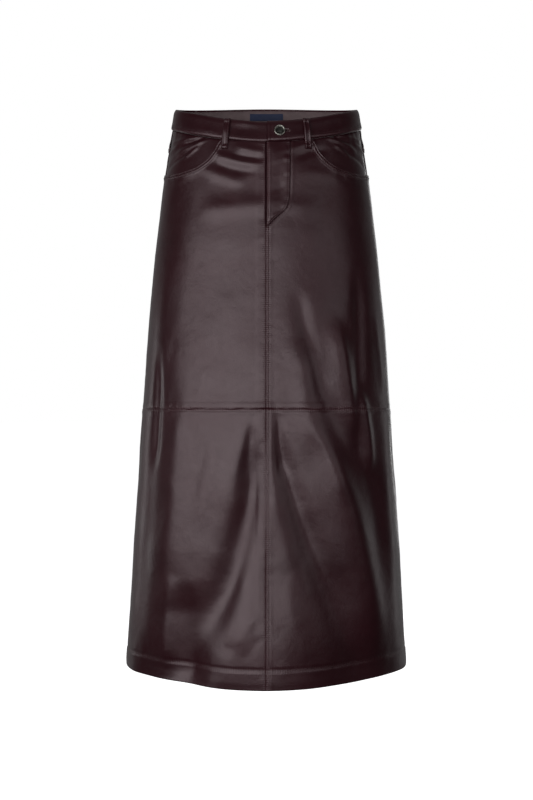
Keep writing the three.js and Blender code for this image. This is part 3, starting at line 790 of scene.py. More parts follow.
def thread_finish():
    """Twisted thread."""
    found = bpy.data.materials.get("sewing_thread")
    if found:
        return found
    colour = tuple(bpy.context.scene.skirt_colours.thread)
    material, tree, shader = new_finish("sewing_thread", 0.5, Sheen_Weight=0.2, Sheen_Roughness=0.4)
    where = node(tree, "ShaderNodeTexCoord").outputs["Object"]
    strand = noise_of(tree, where, 3500.0, 2.0)
    patch = noise_of(tree, where, 40.0, 2.0)
    tree.links.new(tone(tree, patch, shaded(colour, 0.8), shaded(colour, 1.2)), shader.inputs["Base Color"])
    tree.links.new(bump(tree, strand, 0.0001, 0.7), shader.inputs["Normal"])
    return material


def metal_finish():
    """Dark plated metal, brighter where the rim is rubbed."""
    found = bpy.data.materials.get("gunmetal")
    if found:
        return found
    colour = tuple(bpy.context.scene.skirt_colours.metal)
    material, tree, shader = new_finish("gunmetal", 0.3, Metallic=1.0)
    where = node(tree, "ShaderNodeTexCoord").outputs["Object"]
    rubbed = node(tree, "ShaderNodeAttribute", attribute_name="rubbed").outputs["Fac"]
    smudge = noise_of(tree, where, 350.0, 4.0, 0.5)
    drawn_out = node(tree, "ShaderNodeMapping", {"Vector": where, "Scale": (1, 1, 14)}).outputs[0]
    scratch = noise_of(tree, drawn_out, 900.0, 2.0)
    base = tone(tree, smudge, shaded(colour, 0.75), shaded(colour, 1.3))
    tree.links.new(blend(tree, rubbed, base, (*BARE_METAL, 1)), shader.inputs["Base Color"])
    rough = math_node(tree, "ADD", in_range(tree, smudge, 0.24, 0.36, 0.3, 0.7),
                      in_range(tree, scratch, -0.03, 0.05, 0.3, 0.7))
    tree.links.new(rough, shader.inputs["Roughness"])
    tree.links.new(bump(tree, scratch, 0.00002, 0.6), shader.inputs["Normal"])
    return material


# Cloth pieces

def between_seams(low, high, share, side, z):
    """Angles of a panel whose edges keep half a gap inside the two seams beside it."""
    start = low + degrees_for(SEWN_GAP / 2, side * low + 0 * z, z)
    end = high - degrees_for(SEWN_GAP / 2, side * high + 0 * z, z)
    return side * mix(start, end, share)


def panel(name, angle, z, run, out, mouth):
    """One piece of leather over rows and columns of angles and heights."""
    push, pull = relief(angle, z, mouth)
    points = off(angle, z, push + out)
    uv = np.stack([angle * MM_PER_DEGREE, run], axis=-1)
    piece = grid_object(name, points, uv, pull)
    give_wall(piece, bpy.context.scene.skirt_sizes.leather_wall)
    place_piece(piece, "leather", [leather_finish(), backing_finish()], name)
    return piece


def grid_of(columns, rows):
    return np.meshgrid(columns, rows)


def front_upper(side, word, cell):
    u, v = grid_of(graded(265, cell, 0.4), graded(400, cell * 1.3, 0.5, 1.08))
    first = 90 * u
    opened = np.where(first > POCKET_MOUTH[0, 0], between(POCKET_MOUTH, 1, first), 0)
    top = waist_seam(first) - np.maximum(SEAM_GAP, opened)
    z = mix(top, THIGH_SEAM + SEWN_GAP / 2, v)
    angle = between_seams(0, 90, u, side, z)
    piece = panel(f"front_upper_{word}", angle, z, z, 0, side)


def back_upper(side, word, cell):
    u, v = grid_of(graded(270, cell, 0.8), graded(370, cell * 1.3, 0.8))
    guess = mix(90, 180, u)
    top = waist_seam(guess) - yoke_depth(guess) + YOKE_LAP
    z = mix(top, THIGH_SEAM + SEWN_GAP / 2, v)
    angle = between_seams(90, 180, u, side, z)
    piece = panel(f"back_upper_{word}", angle, z, z, 0, 0)


def yoke(side, word, cell):
    """A back yoke, whose lower edge laps over the panel and is sewn down in two rows."""
    u, v = grid_of(graded(230, cell, 0.8), graded(62, 1.6, 0.5))
    guess = mix(90, 180, u)
    depth = yoke_depth(guess)
    z = waist_seam(guess) - mix(SEAM_GAP, depth, v)
    angle = between_seams(90, 180, u, side, z)
    height = (1 - v) * depth
    out = (LEATHER + SEAM_GAP) * (1 - ease(YOKE_LAP + 1, YOKE_RISE, height))
    for row in YOKE_ROWS:
        out = out - 0.45 * bell(height - row, 0.8)
    out = out + 0.3 * bell(height - 4, 1.6) - 0.35 * bell(height, 0.5)
    piece = panel(f"back_yoke_{word}", angle, z, z, out, 0)


def lower(side, word, low, cell):
    """A lower panel, whose hem is turned up inside."""
    body = graded(400, cell * 1.3, 0.8)[:-1]
    turns = np.linspace(0, math.pi, 7)
    inside = np.linspace(0, TURNUP - TURNUP_FOLD, 12)[1:]
    rows = len(body) + len(turns) + len(inside)
    u, row = grid_of(graded(290, cell, 0.8), np.arange(rows))
    foot = hem_line(mix(low, low + 90, u)) + TURNUP_FOLD
    top = THIGH_SEAM - SEWN_GAP / 2
    shares = np.concatenate([body, np.ones(len(turns) + len(inside))])[row]
    rise = np.concatenate([0 * body, -TURNUP_FOLD * np.sin(turns), inside])[row]
    back = 0 * inside - 2 * TURNUP_FOLD
    bend = np.concatenate([0 * body, TURNUP_FOLD * (np.cos(turns) - 1), back])[row]
    z = mix(top, foot, shares) + rise
    run = mix(top, foot, shares) + np.where(bend < 0, bend, 0) - np.maximum(rise, 0)
    angle = between_seams(low, low + 90, u, side, z)
    name = f"{'front' if low == 0 else 'back'}_lower_{word}"
    piece = panel(name, angle, z, run, bend, 0)


def pocket_facing(side, word):
    """The leather behind a pocket mouth, creased by what pulls at the mouth."""
    u, down = grid_of(np.linspace(0, 1, 90), np.linspace(SEAM_GAP, 100, 72))
    inner = between(POCKET_FACING, 1, down)
    z = waist_seam(mix(inner, 90, u)) - down
    edge = 90 - degrees_for(SEWN_GAP / 2, side * 90 + 0 * z, z)
    angle = side * mix(inner, edge, u)
    creases = [
        (side * 38, -36, side * 70, -58, 3, 3, 5, 2),
        (side * 35, -32, side * 62, -43, 2, 2.4, 4, -1.6),
        (side * 46, -34, side * 82, -36, 2, 3, 5, 1.7),
        (side * 48, -52, side * 82, -76, 2, 3, 6, -1.6),
        (side * 44, -46, side * 60, -66, 2, 3, 4, 1.4),
        (side * 62, -40, side * 86, -54, 2, 3, 5, 1.3),
    ]
    out = -(LEATHER + UNDER_GAP) + pushed(creases, angle, z)
    piece = panel(f"pocket_facing_{word}", angle, z, z, out, 0)


def allowance(name, angle, z, run, across_run, deeper):
    """Seam allowances pressed open inside: a strip behind a seam, for two edges in one piece."""
    push = relief(angle, z)[0]
    out = push - LEATHER - 0.25 - deeper + 0.5 * bell(across_run, 1.2)
    points = off(angle, z, out)
    uv = np.stack([across_run, run], axis=-1)
    piece = grid_object(name, points, uv)
    give_wall(piece, 0.9 * MM)
    place_piece(piece, "leather", [leather_finish(), backing_finish()])


def allowances():
    aside = np.array([-10, -7, -4, -2, -1, -0.4, 0.4, 1, 2, 4, 7, 10.0])
    seams = (("front", 0, -FLY_LENGTH - 4), ("left", 90, 0), ("right", -90, 0), ("back", 180, 0))
    for word, seam, top in seams:
        start = float(waist_seam(float(seam))) + top - 1.5
        heights = np.arange(start, float(hem_line(float(seam))) + 6, -5.0)
        run, z = grid_of(aside, heights)
        angle = seam + degrees_for(run, seam + 0 * z, z)
        deeper = 2.6 * (1 - ease(104, 124, start + 1.5 - z)) if abs(seam) == 90 else 0 * z
        allowance(f"{word}_allowance", angle, z, z, run, deeper)
    turns = np.arange(-180, 181, 1.5)
    angle, z = grid_of(turns, THIGH_SEAM - aside)
    allowance("thigh_allowance", angle, z, angle * MM_PER_DEGREE, THIGH_SEAM - z, 1.2 + 0 * z)


# Waistband and what it carries

def lap_offset(station):
    over = LAP_LIFT * (1 - ease(LAP_FLAT, LAP_BLEND, station))
    return over - UNDER_SINK * ease(UNDER_BLEND, UNDER_FLAT, station)


def band_point(station, up, out):
    return off(station, waist_seam(station) + up, out + lap_offset(station))


def rounded_end(station):
    """Squeezes a band's section towards its middle at its two ends, so that they are rounded."""
    per_degree = np.linalg.norm(across(station, waist_seam(station)), axis=-1)
    close = np.minimum(station - LAP_END, UNDER_END - station) * per_degree / BAND_END_ROUND
    return np.sqrt(1 - (1 - np.clip(close, 0, 1)) ** 2 * 0.96)


def waistband():
    ends = np.array([0, 0.04, 0.11, 0.2, 0.32, 0.46])
    middle = np.arange(LAP_END + 0.7, UNDER_END - 0.6, 0.6)
    stations = np.concatenate([LAP_END + ends, middle, UNDER_END - ends[::-1]])
    section = np.array(BAND_FACE + BAND_INSIDE + BAND_FACE[:1])
    station, k = np.meshgrid(stations, np.arange(len(section)), indexing="ij")
    out, up = section[k, 0], section[k, 1]
    squeeze = rounded_end(station)
    out = out * squeeze
    up = BAND_HEIGHT / 2 + (up - BAND_HEIGHT / 2) * mix(1, squeeze, 0.06)
    run = station * MM_PER_DEGREE
    front = ease(-0.5, 1, out)
    out = out + front * 0.3 * uneven(run, 71, 21) * bell(up - 15, 10)
    out = out + front * 0.2 * uneven(run, 72, 9) * bell(up - 6, 5)
    out = out + front * LAP_ROLL * bell((station - LAP_END) * MM_PER_DEGREE - 3.4, 2)
    for angle, height, wide, tall, depth in BAND_DENTS:
        turn = (station - angle + 180) % 360 - 180
        out = out + front * depth * bell(turn, wide) * bell(up - height, tall)
    out = out - front * BAND_ROW_DEPTH * bell(up - BAND_ROW, 0.7)
    level = bell(up - BAND_ROW, PULL_REACH) * front
    wear = bell(up - 3, 1.2) + 0.7 * bell(up - 31, 1.5)
    pull = np.stack([level, 0 * level, wear], axis=-1)
    points = band_point(station, up, out)
    uv = np.stack([run, np.cumsum(0 * up + 2.0, axis=1)], axis=-1)
    piece = grid_object("waistband", points, uv, pull, ring=True)
    cut_buttonhole(piece)
    place_piece(piece, "leather", [leather_finish()], "waistband")


def button_frame(out):
    """The matrix that stands a shape on the cloth under the waist button, with +Z outwards."""
    z = waist_seam(0.0) + BUTTON_HEIGHT
    angle = angle_across(BUTTON_ACROSS, z)
    normal = Vector(outward(angle, z))
    sideways = Vector(unit(across(angle, z)))
    up = normal.cross(sideways)
    matrix = Matrix((sideways, up, normal)).transposed().to_4x4()
    matrix.translation = Vector(off(angle, z, out)) * MM
    return matrix


def hole_outline(grow, count):
    """A keyhole's outline: round at the shank and narrow away from it."""
    turn = np.linspace(0, 2 * math.pi, count, endpoint=False)
    x, y = np.cos(turn) * HOLE_RADIUS, np.sin(turn) * HOLE_RADIUS
    narrow = ease(0, HOLE_RADIUS, x)
    x, y = x + narrow * HOLE_LENGTH, y * mix(1, HOLE_NARROW, ease(0, HOLE_RADIUS * 0.5, x))
    return x + grow * np.cos(turn), y + grow * np.sin(turn)


def cut_buttonhole(band):
    """Cuts the keyhole through the upper layer of the lap."""
    x, y = hole_outline(0, 48)
    bm = bmesh.new()
    made = bmesh.ops.create_circle(bm, cap_ends=True, segments=48, radius=1)
    for vert, a, b in zip(made["verts"], x, y):
        vert.co = (a * MM, b * MM, 0)
    face = bmesh.ops.extrude_face_region(bm, geom=list(bm.faces))
    top = [g for g in face["geom"] if isinstance(g, bmesh.types.BMVert)]
    bmesh.ops.translate(bm, verts=top, vec=(0, 0, 2 * BAND_WALL * MM))
    bmesh.ops.transform(bm, matrix=button_frame(LAP_LIFT - BAND_WALL / 2 - SEAM_GAP), verts=bm.verts)
    cutter = bmesh_object("buttonhole_cutter", bm, smooth=False)
    cut = band.modifiers.new("Buttonhole", "BOOLEAN")
    cut.operation = "DIFFERENCE"
    cut.solver = "EXACT"
    cut.object = cutter
    graph = bpy.context.evaluated_depsgraph_get()
    mesh = bpy.data.meshes.new_from_object(band.evaluated_get(graph), depsgraph=graph)
    band.modifiers.clear()
    old, band.data = band.data, mesh
    mesh.name = old.name
    bpy.data.meshes.remove(old)
    mesh.shade_smooth()
    bpy.data.objects.remove(cutter)


def ring_piece(name, rows, section, place, slot, materials, flat):
    """A thin strip with rounded edges: place gives points for rows and points of its section."""
    across_share, layer = np.array(section + section[:1]).T
    row, k = np.meshgrid(rows, np.arange(len(across_share)), indexing="ij")
    points, run, pull = place(row, across_share[k], layer[k])
    uv = np.stack([across_share[k] * flat[0] / MM, run], axis=-1)
    piece = grid_object(name, points, uv, pull, ring=True)
    place_piece(piece, slot, materials, name)


def strip_section(points, round_share):
    """A flat strip's section, from one edge to the other over the face (layer 1) and back (0)."""
    over = [(mix(-0.5 + round_share, 0.5 - round_share, t), 1.0) for t in np.linspace(0, 1, points)]
    turn = np.radians([60, 30, 0, -30, -60])
    right = [(0.5 - round_share * (1 - math.cos(a)), 0.5 + 0.5 * math.sin(a)) for a in turn]
    back = [(-s, 1 - w) for s, w in over]
    left = [(-s, 1 - w) for s, w in right]
    return over + right + back + left


def waistband_facing():
    """The woven facing inside the waistband."""
    top = BAND_HEIGHT - FACING_MARGIN

    def place(station, share, layer):
        up = (share + 0.5) * top
        lean = BAND_LEAN * np.clip((up - BAND_HEIGHT + BAND_ROLL) / BAND_ROLL, 0, 1)
        wave = 0.1 * uneven(station * MM_PER_DEGREE, 81, 12)
        out = -BAND_WALL / 2 - SEAM_GAP - FACING_WALL * layer - lean
        pull = np.zeros(station.shape + (3,))
        return band_point(station, up, out - np.abs(wave)), station * MM_PER_DEGREE, pull

    stations = np.arange(FACING_FROM, FACING_TO + 0.1, 1.0)
    ring_piece(
        "waistband_facing", stations, strip_section(16, 0.03), place, "band_facing",
        [facing_finish()], (top * MM, 0.73),
    )


def fly():
    """The fly's outer layer, folded at the centre front and sewn down along its curved edge."""

    def place(down, share, layer):
        z = waist_seam(0.0) - down
        width = between(FLY, 1, down)
        at_edge = (0.5 - share) * width
        angle = angle_across(FLY_EDGE + width * (share + 0.5), z)
        level = waist_seam(angle) - down
        pull = relief(angle, level)[1]
        foot = FLY_LENGTH - down
        sewn = np.minimum(at_edge, foot * 1.2)
        fold = (share + 0.5) * width
        out = SEAM_GAP + FLY_WALL * layer * mix(0.2, 1.5, ease(0, 1.8, sewn))
        out = out - layer * 0.6 * bell(sewn - 3, 0.9)
        lumps = 0.9 * uneven(down, 91, 17) + 0.4 * uneven(down + 9 * share, 93, 9)
        out = out + layer * lumps * bell(share, 0.3)
        out = out + layer * 0.6 * uneven(down, 92, 7) * bell(sewn - 4, 5)
        roll = ease(0, 4.2, fold) * (1 - ease(3.6, 24, fold)) + 0.35 * bell(fold - 4, 1.4)
        out = out + layer * FLY_ROLL * roll * ease(-4, 12, down) * (1 - ease(110, 127, down))
        stitched = np.stack([0 * out, 0.5 * bell(sewn - 2, 4), bell(fold - 2.5, 1.2)], axis=-1)
        pull = pull + stitched * layer[..., None]
        form = slow_waves(skin(angle, level)) + pushed(CREASES, angle, level)
        return off(angle, level, form + out), level, pull

    rows = np.concatenate([np.linspace(SEAM_GAP, 84, 60), np.linspace(85, FLY_LENGTH, 48)])
    ring_piece(
        "fly_front", rows, strip_section(26, 0.018), place, "leather", [leather_finish()], (0.036, 0.128),
    )


def belt_loop(name, angle):
    """A belt loop: a strip that bows off the waistband and is turned under at both ends."""

    def place(down, share, layer):
        top = band_top(angle) - LOOP_BELOW_TOP
        z = top - down
        turned = angle + degrees_for(LOOP_WIDTH * share, angle + 0 * z, z)
        on_band = BAND_WALL / 2 + SEAM_GAP + 0.5 + abs(float(lap_offset(angle % 360)))
        mouth = np.sign(angle) if abs(angle) < 90 else 0
        below_seam = np.minimum(z, waist_seam(turned) - 2)
        under = np.maximum(relief(turned, below_seam, mouth)[0], -0.3)
        seat = mix(on_band, SEAM_GAP + under, ease(BAND_HEIGHT, LOOP_SEAT, down))
        lift = seat + LOOP_BOW * np.sin(math.pi * np.clip(down / LOOP_BOW_LENGTH, 0, 1)) ** 2
        thick = LOOP_WALL + 0.9 * bell(abs(share) - 0.31, 0.11) - 0.3 * bell(abs(share) - 0.41, 0.03)
        end = np.minimum(down, LOOP_LENGTH - down)
        thick = thick * np.sqrt(1 - (1 - np.clip(end / 1.6, 0, 1)) ** 2 * 0.85) + 1.1 * bell(end - 3.6, 2.6)
        pull = np.stack([0 * z, bell(abs(share) - 0.4, 0.15), bell(abs(share) - 0.47, 0.05)], axis=-1)
        return off(turned, z, lift + thick * layer), z, pull

    ends = np.array([0, 0.15, 0.4, 0.8, 1.3])
    rows = np.concatenate([ends, np.linspace(2, LOOP_LENGTH - 2, 44), LOOP_LENGTH - ends[::-1]])
    ring_piece(
        name, rows, strip_section(20, 0.07), place, "leather", [leather_finish()], (0.0105, 0.0485),
    )


def label():
    """The woven label, left plain."""

    def place(row, share, layer):
        down = LABEL_FROM_TOP + row * LABEL_HEIGHT
        z = band_top(180.0) - down
        angle = 180 + degrees_for(LABEL_WIDTH * share, 180 + 0 * z, z)
        base = -(BAND_WALL / 2 + SEAM_GAP + FACING_WALL + SEAM_GAP)
        puff = 0.3 * bell(row - 0.5, 0.4) * bell(abs(share) - 0.2, 0.25)
        return off(angle, z, base - layer * (LABEL_WALL + puff)), z, np.zeros(z.shape + (3,))

    ring_piece(
        "woven_label", np.linspace(0, 1, 14), strip_section(60, 0.006), place, "label_cloth",
        [label_finish()], (0.055, 0.011),
    )


def turned_piece(name, profile, out, segments=64):
    """A round metal piece from its profile, as (radius, height, rubbed) points."""
    bm = bmesh.new()
    rubbed = bm.verts.layers.float.new("rubbed")
    verts = []
    for radius, height, worn in profile:
        vert = bm.verts.new((radius * MM, 0, height * MM))
        vert[rubbed] = worn
        verts.append(vert)
    edges = [bm.edges.new(pair) for pair in zip(verts[:-1], verts[1:])]
    bmesh.ops.spin(
        bm, geom=verts + edges, axis=(0, 0, 1), cent=(0, 0, 0), steps=segments,
        angle=2 * math.pi, use_merge=True,
    )
    bmesh.ops.remove_doubles(bm, verts=bm.verts, dist=1e-6)
    bmesh.ops.transform(bm, matrix=button_frame(out), verts=bm.verts)
    return bmesh_object(name, bm)


def waist_button():
    """The tack button: a dished cap with a raised rim, on its shank."""
    under = BAND_WALL / 2 + LAP_LIFT + SEAM_GAP
    foot = BAND_WALL / 2 - UNDER_SINK + SEAM_GAP
    profile = [
        (0, foot, 0), (BUTTON_SHANK, foot, 0), (BUTTON_SHANK, under, 0), (7.2, under, 0),
        (7.8, under + 0.2, 0.2), (8.2, under + 0.7, 0.5), (8.3, under + 1.3, 0.6), (8.25, under + 2.1, 0.8),
        (8.05, under + 2.65, 1), (7.7, under + 2.93, 1), (7.3, under + 3, 1), (6.9, under + 2.92, 0.9),
        (6.6, under + 2.68, 0.6), (6.4, under + 2.35, 0.2), (6.1, under + 2.2, 0), (4, under + 2.28, 0),
        (2, under + 2.34, 0), (0, under + 2.36, 0),
    ]
    piece = turned_piece("waist_button", profile, 0)
    place_piece(piece, "button_metal", [metal_finish()], "waist_button")
    face = -(UNDER_SINK + BAND_WALL / 2 + SEAM_GAP)
    profile = [
        (0, face - 1.2, 0.5), (1.4, face - 1.3, 0.6), (2.6, face - 1.38, 0.8), (3.3, face - 1.25, 0.7),
        (4.1, face - 0.85, 0.3), (4.45, face - 0.45, 0.2), (4.5, face - 0.1, 0), (4.35, face, 0),
        (0, face, 0),
    ]
    piece = turned_piece("button_back", profile, 0)
    place_piece(piece, "button_metal", [metal_finish()], "button_back")


def zip_fastener():
    """The closed zip behind the fly: its tape, the teeth along it, and the slider."""
    out = -(LEATHER + UNDER_GAP)

    def place(row, share, layer):
        z = waist_seam(0.0) - mix(ZIP_TOP, ZIP_FOOT, row)
        x = 2 * ZIP_HALF * share
        angle = np.sign(x) * angle_across(abs(x), z)
        rib = 0.12 * bell(abs(share) - 0.17, 0.03)
        return off(angle, z, out - layer * (ZIP_TAPE + rib)), z, np.zeros(z.shape + (3,))

    ring_piece(
        "fly_zip", np.linspace(0, 1, 50), strip_section(24, 0.015), place, "zip_tape",
        [tape_finish()], (0.028, 0.119),
    )
    bm = bmesh.new()
    rows = np.arange(ZIP_TOP + 2, ZIP_FOOT - 1, 1.4)
    for k, down in enumerate(rows):
        z = waist_seam(0.0) - down
        side = 1 if k % 2 else -1
        angle = side * angle_across(0.7, z)
        normal = Vector(outward(angle, z))
        sideways = Vector(unit(across(angle, z)))
        matrix = Matrix((sideways, normal.cross(sideways), normal)).transposed().to_4x4()
        matrix.translation = Vector(off(angle, z, out - ZIP_TAPE - 0.5)) * MM
        matrix = matrix @ Matrix.Diagonal((3.4 * MM, 0.95 * MM, 1.1 * MM, 1))
        bmesh.ops.create_cube(bm, size=1, matrix=matrix)
    bmesh.ops.bevel(
        bm, geom=list(bm.edges), offset=0.00018, affect="EDGES", segments=1, profile=0.5, material=-1
    )
    teeth = bmesh_object("zip_teeth", bm)
    place_piece(teeth, "button_metal", [metal_finish()])
    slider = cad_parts["zip_slider"]
    for material_slot in slider.material_slots:
        material_slot.material = metal_finish()


# Sewing

def spaced_along(points, pitch):
    """Shares of a line's index at equal steps along it."""
    steps = np.linalg.norm(np.diff(points, axis=0), axis=-1)
    run = np.concatenate([[0], np.cumsum(steps)])
    marks = np.arange(pitch / 2, run[-1], pitch)
    return np.interp(marks, run, np.arange(len(points)))


def sew(name, lines):
    """Stitches along lines, each given as points and the ways that its cloth faces."""
    sizes = bpy.context.scene.skirt_sizes
    pitch, radius = sizes.stitch_pitch / MM, sizes.thread / MM / 2
    stitches = []
    for points, normals in lines:
        order = np.arange(len(points))
        for at in spaced_along(points, pitch):
            here = [np.interp(at, order, points[:, k]) for k in range(3)]
            low = min(len(points) - 2, int(at))
            along = points[low + 1] - points[low]
            stitches.append((here, along, normals[low], pitch * 0.4, radius))
    return thread_piece(name, stitches)


def thread_piece(name, stitches):
    """One piece of many stitches, each with its place, its way, its cloth's way and its size."""
    bm = bmesh.new()
    batch = bpy.data.meshes.new("batch")
    for start in range(0, len(stitches), STITCHES_AT_ONCE):
        part = bmesh.new()
        for stitch in stitches[start:start + STITCHES_AT_ONCE]:
            add_stitch(part, *stitch)
        part.to_mesh(batch)
        part.free()
        bm.from_mesh(batch)
    bpy.data.meshes.remove(batch)
    piece = bmesh_object(name, bm)
    place_piece(piece, "leather", [thread_finish()])
    return piece


def add_stitch(bm, here, along, normal, half_length, radius):
    along = Vector(along).normalized()
    normal = Vector(normal)
    aside = along.cross(normal).normalized()
    matrix = Matrix((aside, along.cross(aside), along)).transposed().to_4x4()
    matrix.translation = Vector(here) * MM
    matrix = matrix @ Matrix.Diagonal((radius * MM, radius * MM, half_length * MM, 1))
    bmesh.ops.create_uvsphere(bm, u_segments=6, v_segments=4, radius=1, matrix=matrix)


def cloth_line(angle, z, out=0.08, mouth=0):
    return cloth(angle, z, out, mouth), outward(angle, z)


def offset_from(line_angle, line_z, distance, side):
    """A line at a distance from another, below it on the cloth."""
    points = skin(line_angle, line_z)
    along = unit(np.gradient(points, axis=0))
    below = np.cross(outward(line_angle, line_z), along) * side
    moved = points - below * distance
    return angle_of(moved), moved[:, 2]


def centre_seam_lines():
    upper_front = np.linspace(THIGH_SEAM + 3, -160, 300)
    upper_back = np.linspace(THIGH_SEAM + 3, -60, 400)
    under = np.linspace(HEM_FRONT + TURNUP, THIGH_SEAM - 3, 400)
    lines = []
    for seam, *_, row in PLUMB_SEAMS:
        if row is None:
            continue
        for z in (upper_front if seam == 0 else upper_back, under):
            lines.append(cloth_line(seam + degrees_for(row, seam + 0 * z, z), z))
    return lines


def pocket_lines():
    lines = []
    for side, _ in SIDES:
        line = np.linspace(POCKET_MOUTH[0, 0] + 0.5, 89.5, 160)
        height = waist_seam(line) - between(POCKET_MOUTH, 1, line)
        for row in MOUTH_ROWS:
            a, z = offset_from(side * line, height, row, side)
            keep = z < waist_seam(a) - 1
            lines.append(cloth_line(a[keep], z[keep], mouth=side))
    return lines


def yoke_lines():
    guess = np.linspace(91, 179, 300)
    lines = []
    for side, _ in SIDES:
        for row in YOKE_ROWS:
            z = waist_seam(guess) - yoke_depth(guess) + row
            lines.append(cloth_line(side * guess, z, LEATHER + SEAM_GAP - 0.3))
    return lines


def fly_line():
    drop = np.linspace(2, FLY_LENGTH - 4, 300)
    x = FLY_EDGE + between(FLY, 1, drop) - 2.6 * ease(0, 20, FLY_LENGTH - drop)
    angle = angle_across(x, waist_seam(0.0) - drop)
    z = waist_seam(angle) - drop
    rise = SEAM_GAP + FLY_WALL * 0.75
    base = off(angle, z, rise + slow_waves(skin(angle, z)) + pushed(CREASES, angle, z))
    return base, outward(angle, z)


def sewing():
    around = np.linspace(-180, 180, 1200)
    station = np.linspace(LAP_END + 1.2, UNDER_BLEND + 10, 1100)
    band = band_point(station, BAND_ROW, BAND_ROW_OUT + 0 * station)
    sew("centre_seam_stitches", centre_seam_lines())
    sew("thigh_seam_stitches", [cloth_line(around, THIGH_SEAM - ROW_ASIDE + 0 * around)])
    sew("hem_stitches", [cloth_line(around, hem_line(around) + TURNUP)])
    sew("pocket_stitches", pocket_lines())
    sew("yoke_stitches", yoke_lines())
    sew("fly_stitches", [fly_line()])
    sew("waistband_stitches", [(band, outward(station, waist_seam(station)))])
    buttonhole_stitches()
    bar_tacks()


def buttonhole_stitches():
    """Close stitches that bind the edge of the buttonhole."""
    x, y = hole_outline(0.9, 96)
    out = BAND_WALL / 2 + LAP_LIFT + 0.18
    place = button_frame(out)
    rows = np.roll(np.stack([x, y], -1), -1, axis=0) - np.roll(np.stack([x, y], -1), 1, axis=0)
    stitches = []
    normal = place.to_3x3() @ Vector((0, 0, 1))
    for (a, b), (dx, dy) in zip(np.stack([x, y], -1), rows):
        here = place @ Vector((a * MM, b * MM, 0))
        away = place.to_3x3() @ Vector((dy, -dx, 0))
        stitches.append((here / MM, away, normal, 1.15, 0.3))
    thread_piece("buttonhole_stitches", stitches)


def bar_tacks():
    """Short close stitches at the ends of the belt loops and the foot of the fly."""
    stitches = []
    for angle in LOOPS.values():
        seat = LOOP_WALL + 0.55
        for down, rise in ((2.6, BAND_WALL / 2 + SEAM_GAP + 0.55), (LOOP_LENGTH - 3, SEAM_GAP + 0.2)):
            z = band_top(float(angle)) - LOOP_BELOW_TOP - down
            for share in np.linspace(-0.42, 0.42, 16):
                turned = angle + degrees_for(LOOP_WIDTH * share, float(angle), z)
                lap = abs(float(lap_offset(angle % 360))) if rise > 1 else 0
                here = off(turned, z, rise + seat + lap)
                upward = skin(turned, z + 1) - skin(turned, z)
                stitches.append((here, upward, outward(turned, z), 0.85, 0.28))
    for down in np.linspace(FLY_LENGTH - 6, FLY_LENGTH + 2, 18):
        z = waist_seam(0.0) - down
        here = off(angle_across(1.6, z), z, 1.45)
        stitches.append((here, across(1.0, z), outward(1.0, z), 1.3, 0.28))
    thread_piece("bar_tacks", stitches)


# Studio

def soft_light(name, azimuth, height, distance, width, tall, radiance, aim=-0.4, colour=(1, 1, 1)):
    """A softbox that faces the skirt; azimuth 0 is in front and positive to the wearer's left."""
    data = bpy.data.lights.new(name, "AREA")
    data.shape = "RECTANGLE"
    data.size, data.size_y = width, tall
    data.energy = radiance * math.pi * width * tall
    data.color = colour
    light = bpy.data.objects.new(name, data)
    turn = math.radians(azimuth)
    light.location = (distance * math.sin(turn), -distance * math.cos(turn), height)
    light.rotation_euler = (Vector((0, 0, aim)) - light.location).to_track_quat("-Z", "Y").to_euler()
    light.visible_camera = False
    bpy.context.scene.collection.objects.link(light)


def studio():
    colours = bpy.context.scene.skirt_colours
    data = bpy.data.cameras.new("photo_camera")
    data.lens = CAMERA_LENS
    data.sensor_fit = "VERTICAL"
    data.sensor_height = CAMERA_SENSOR
    camera = bpy.data.objects.new("photo_camera", data)
    camera.location = (0, -CAMERA_DISTANCE, CAMERA_HEIGHT)
    camera.rotation_euler = (math.radians(90), 0, 0)
    scene = bpy.context.scene
    scene.collection.objects.link(camera)
    scene.camera = camera
    scene.view_settings.view_transform = "Standard"
    bm = bmesh.new()
    bmesh.ops.create_circle(bm, cap_ends=True, segments=96, radius=40)
    bmesh.ops.translate(bm, verts=bm.verts, vec=(0, 0, FLOOR_HEIGHT))
    floor = bmesh_object("studio_floor", bm, smooth=False)
    material, tree, shader = new_finish("studio_floor", 0.9)
    paper = noise_of(tree, node(tree, "ShaderNodeTexCoord").outputs["Object"], 3.0, 2.0)
    pale = tuple(colours.floor)
    tree.links.new(tone(tree, paper, shaded(pale, 0.98), pale), shader.inputs["Base Color"])
    shader.inputs["Emission Color"].default_value = WHITE
    shader.inputs["Emission Strength"].default_value = 0.95
    floor.data.materials.append(material)
    floor.visible_glossy = False
    floor.visible_diffuse = False
    world = bpy.data.worlds.new("studio_surround")
    world.use_nodes = True
    scene.world = world
    surround(world.node_tree)
    soft_light("key_softbox", -25, -0.17, 2.4, 4, 1.18, 3.2, -0.17)
    soft_light("fill_softbox", 42, 0.1, 2.4, 1.6, 0.9, 1.1, 0.1)
    soft_light("top_softbox", 0, 2.2, 0.6, 2.0, 1.4, 0.25)
    soft_light("left_strip", -112, -0.5, 2.0, 0.4, 0.75, 2.2)
    soft_light("right_strip", 118, -0.6, 2.0, 0.6, 1.2, 0.5)
    soft_light("back_softbox", 168, -0.2, 2.6, 1.4, 1.4, 1.6)


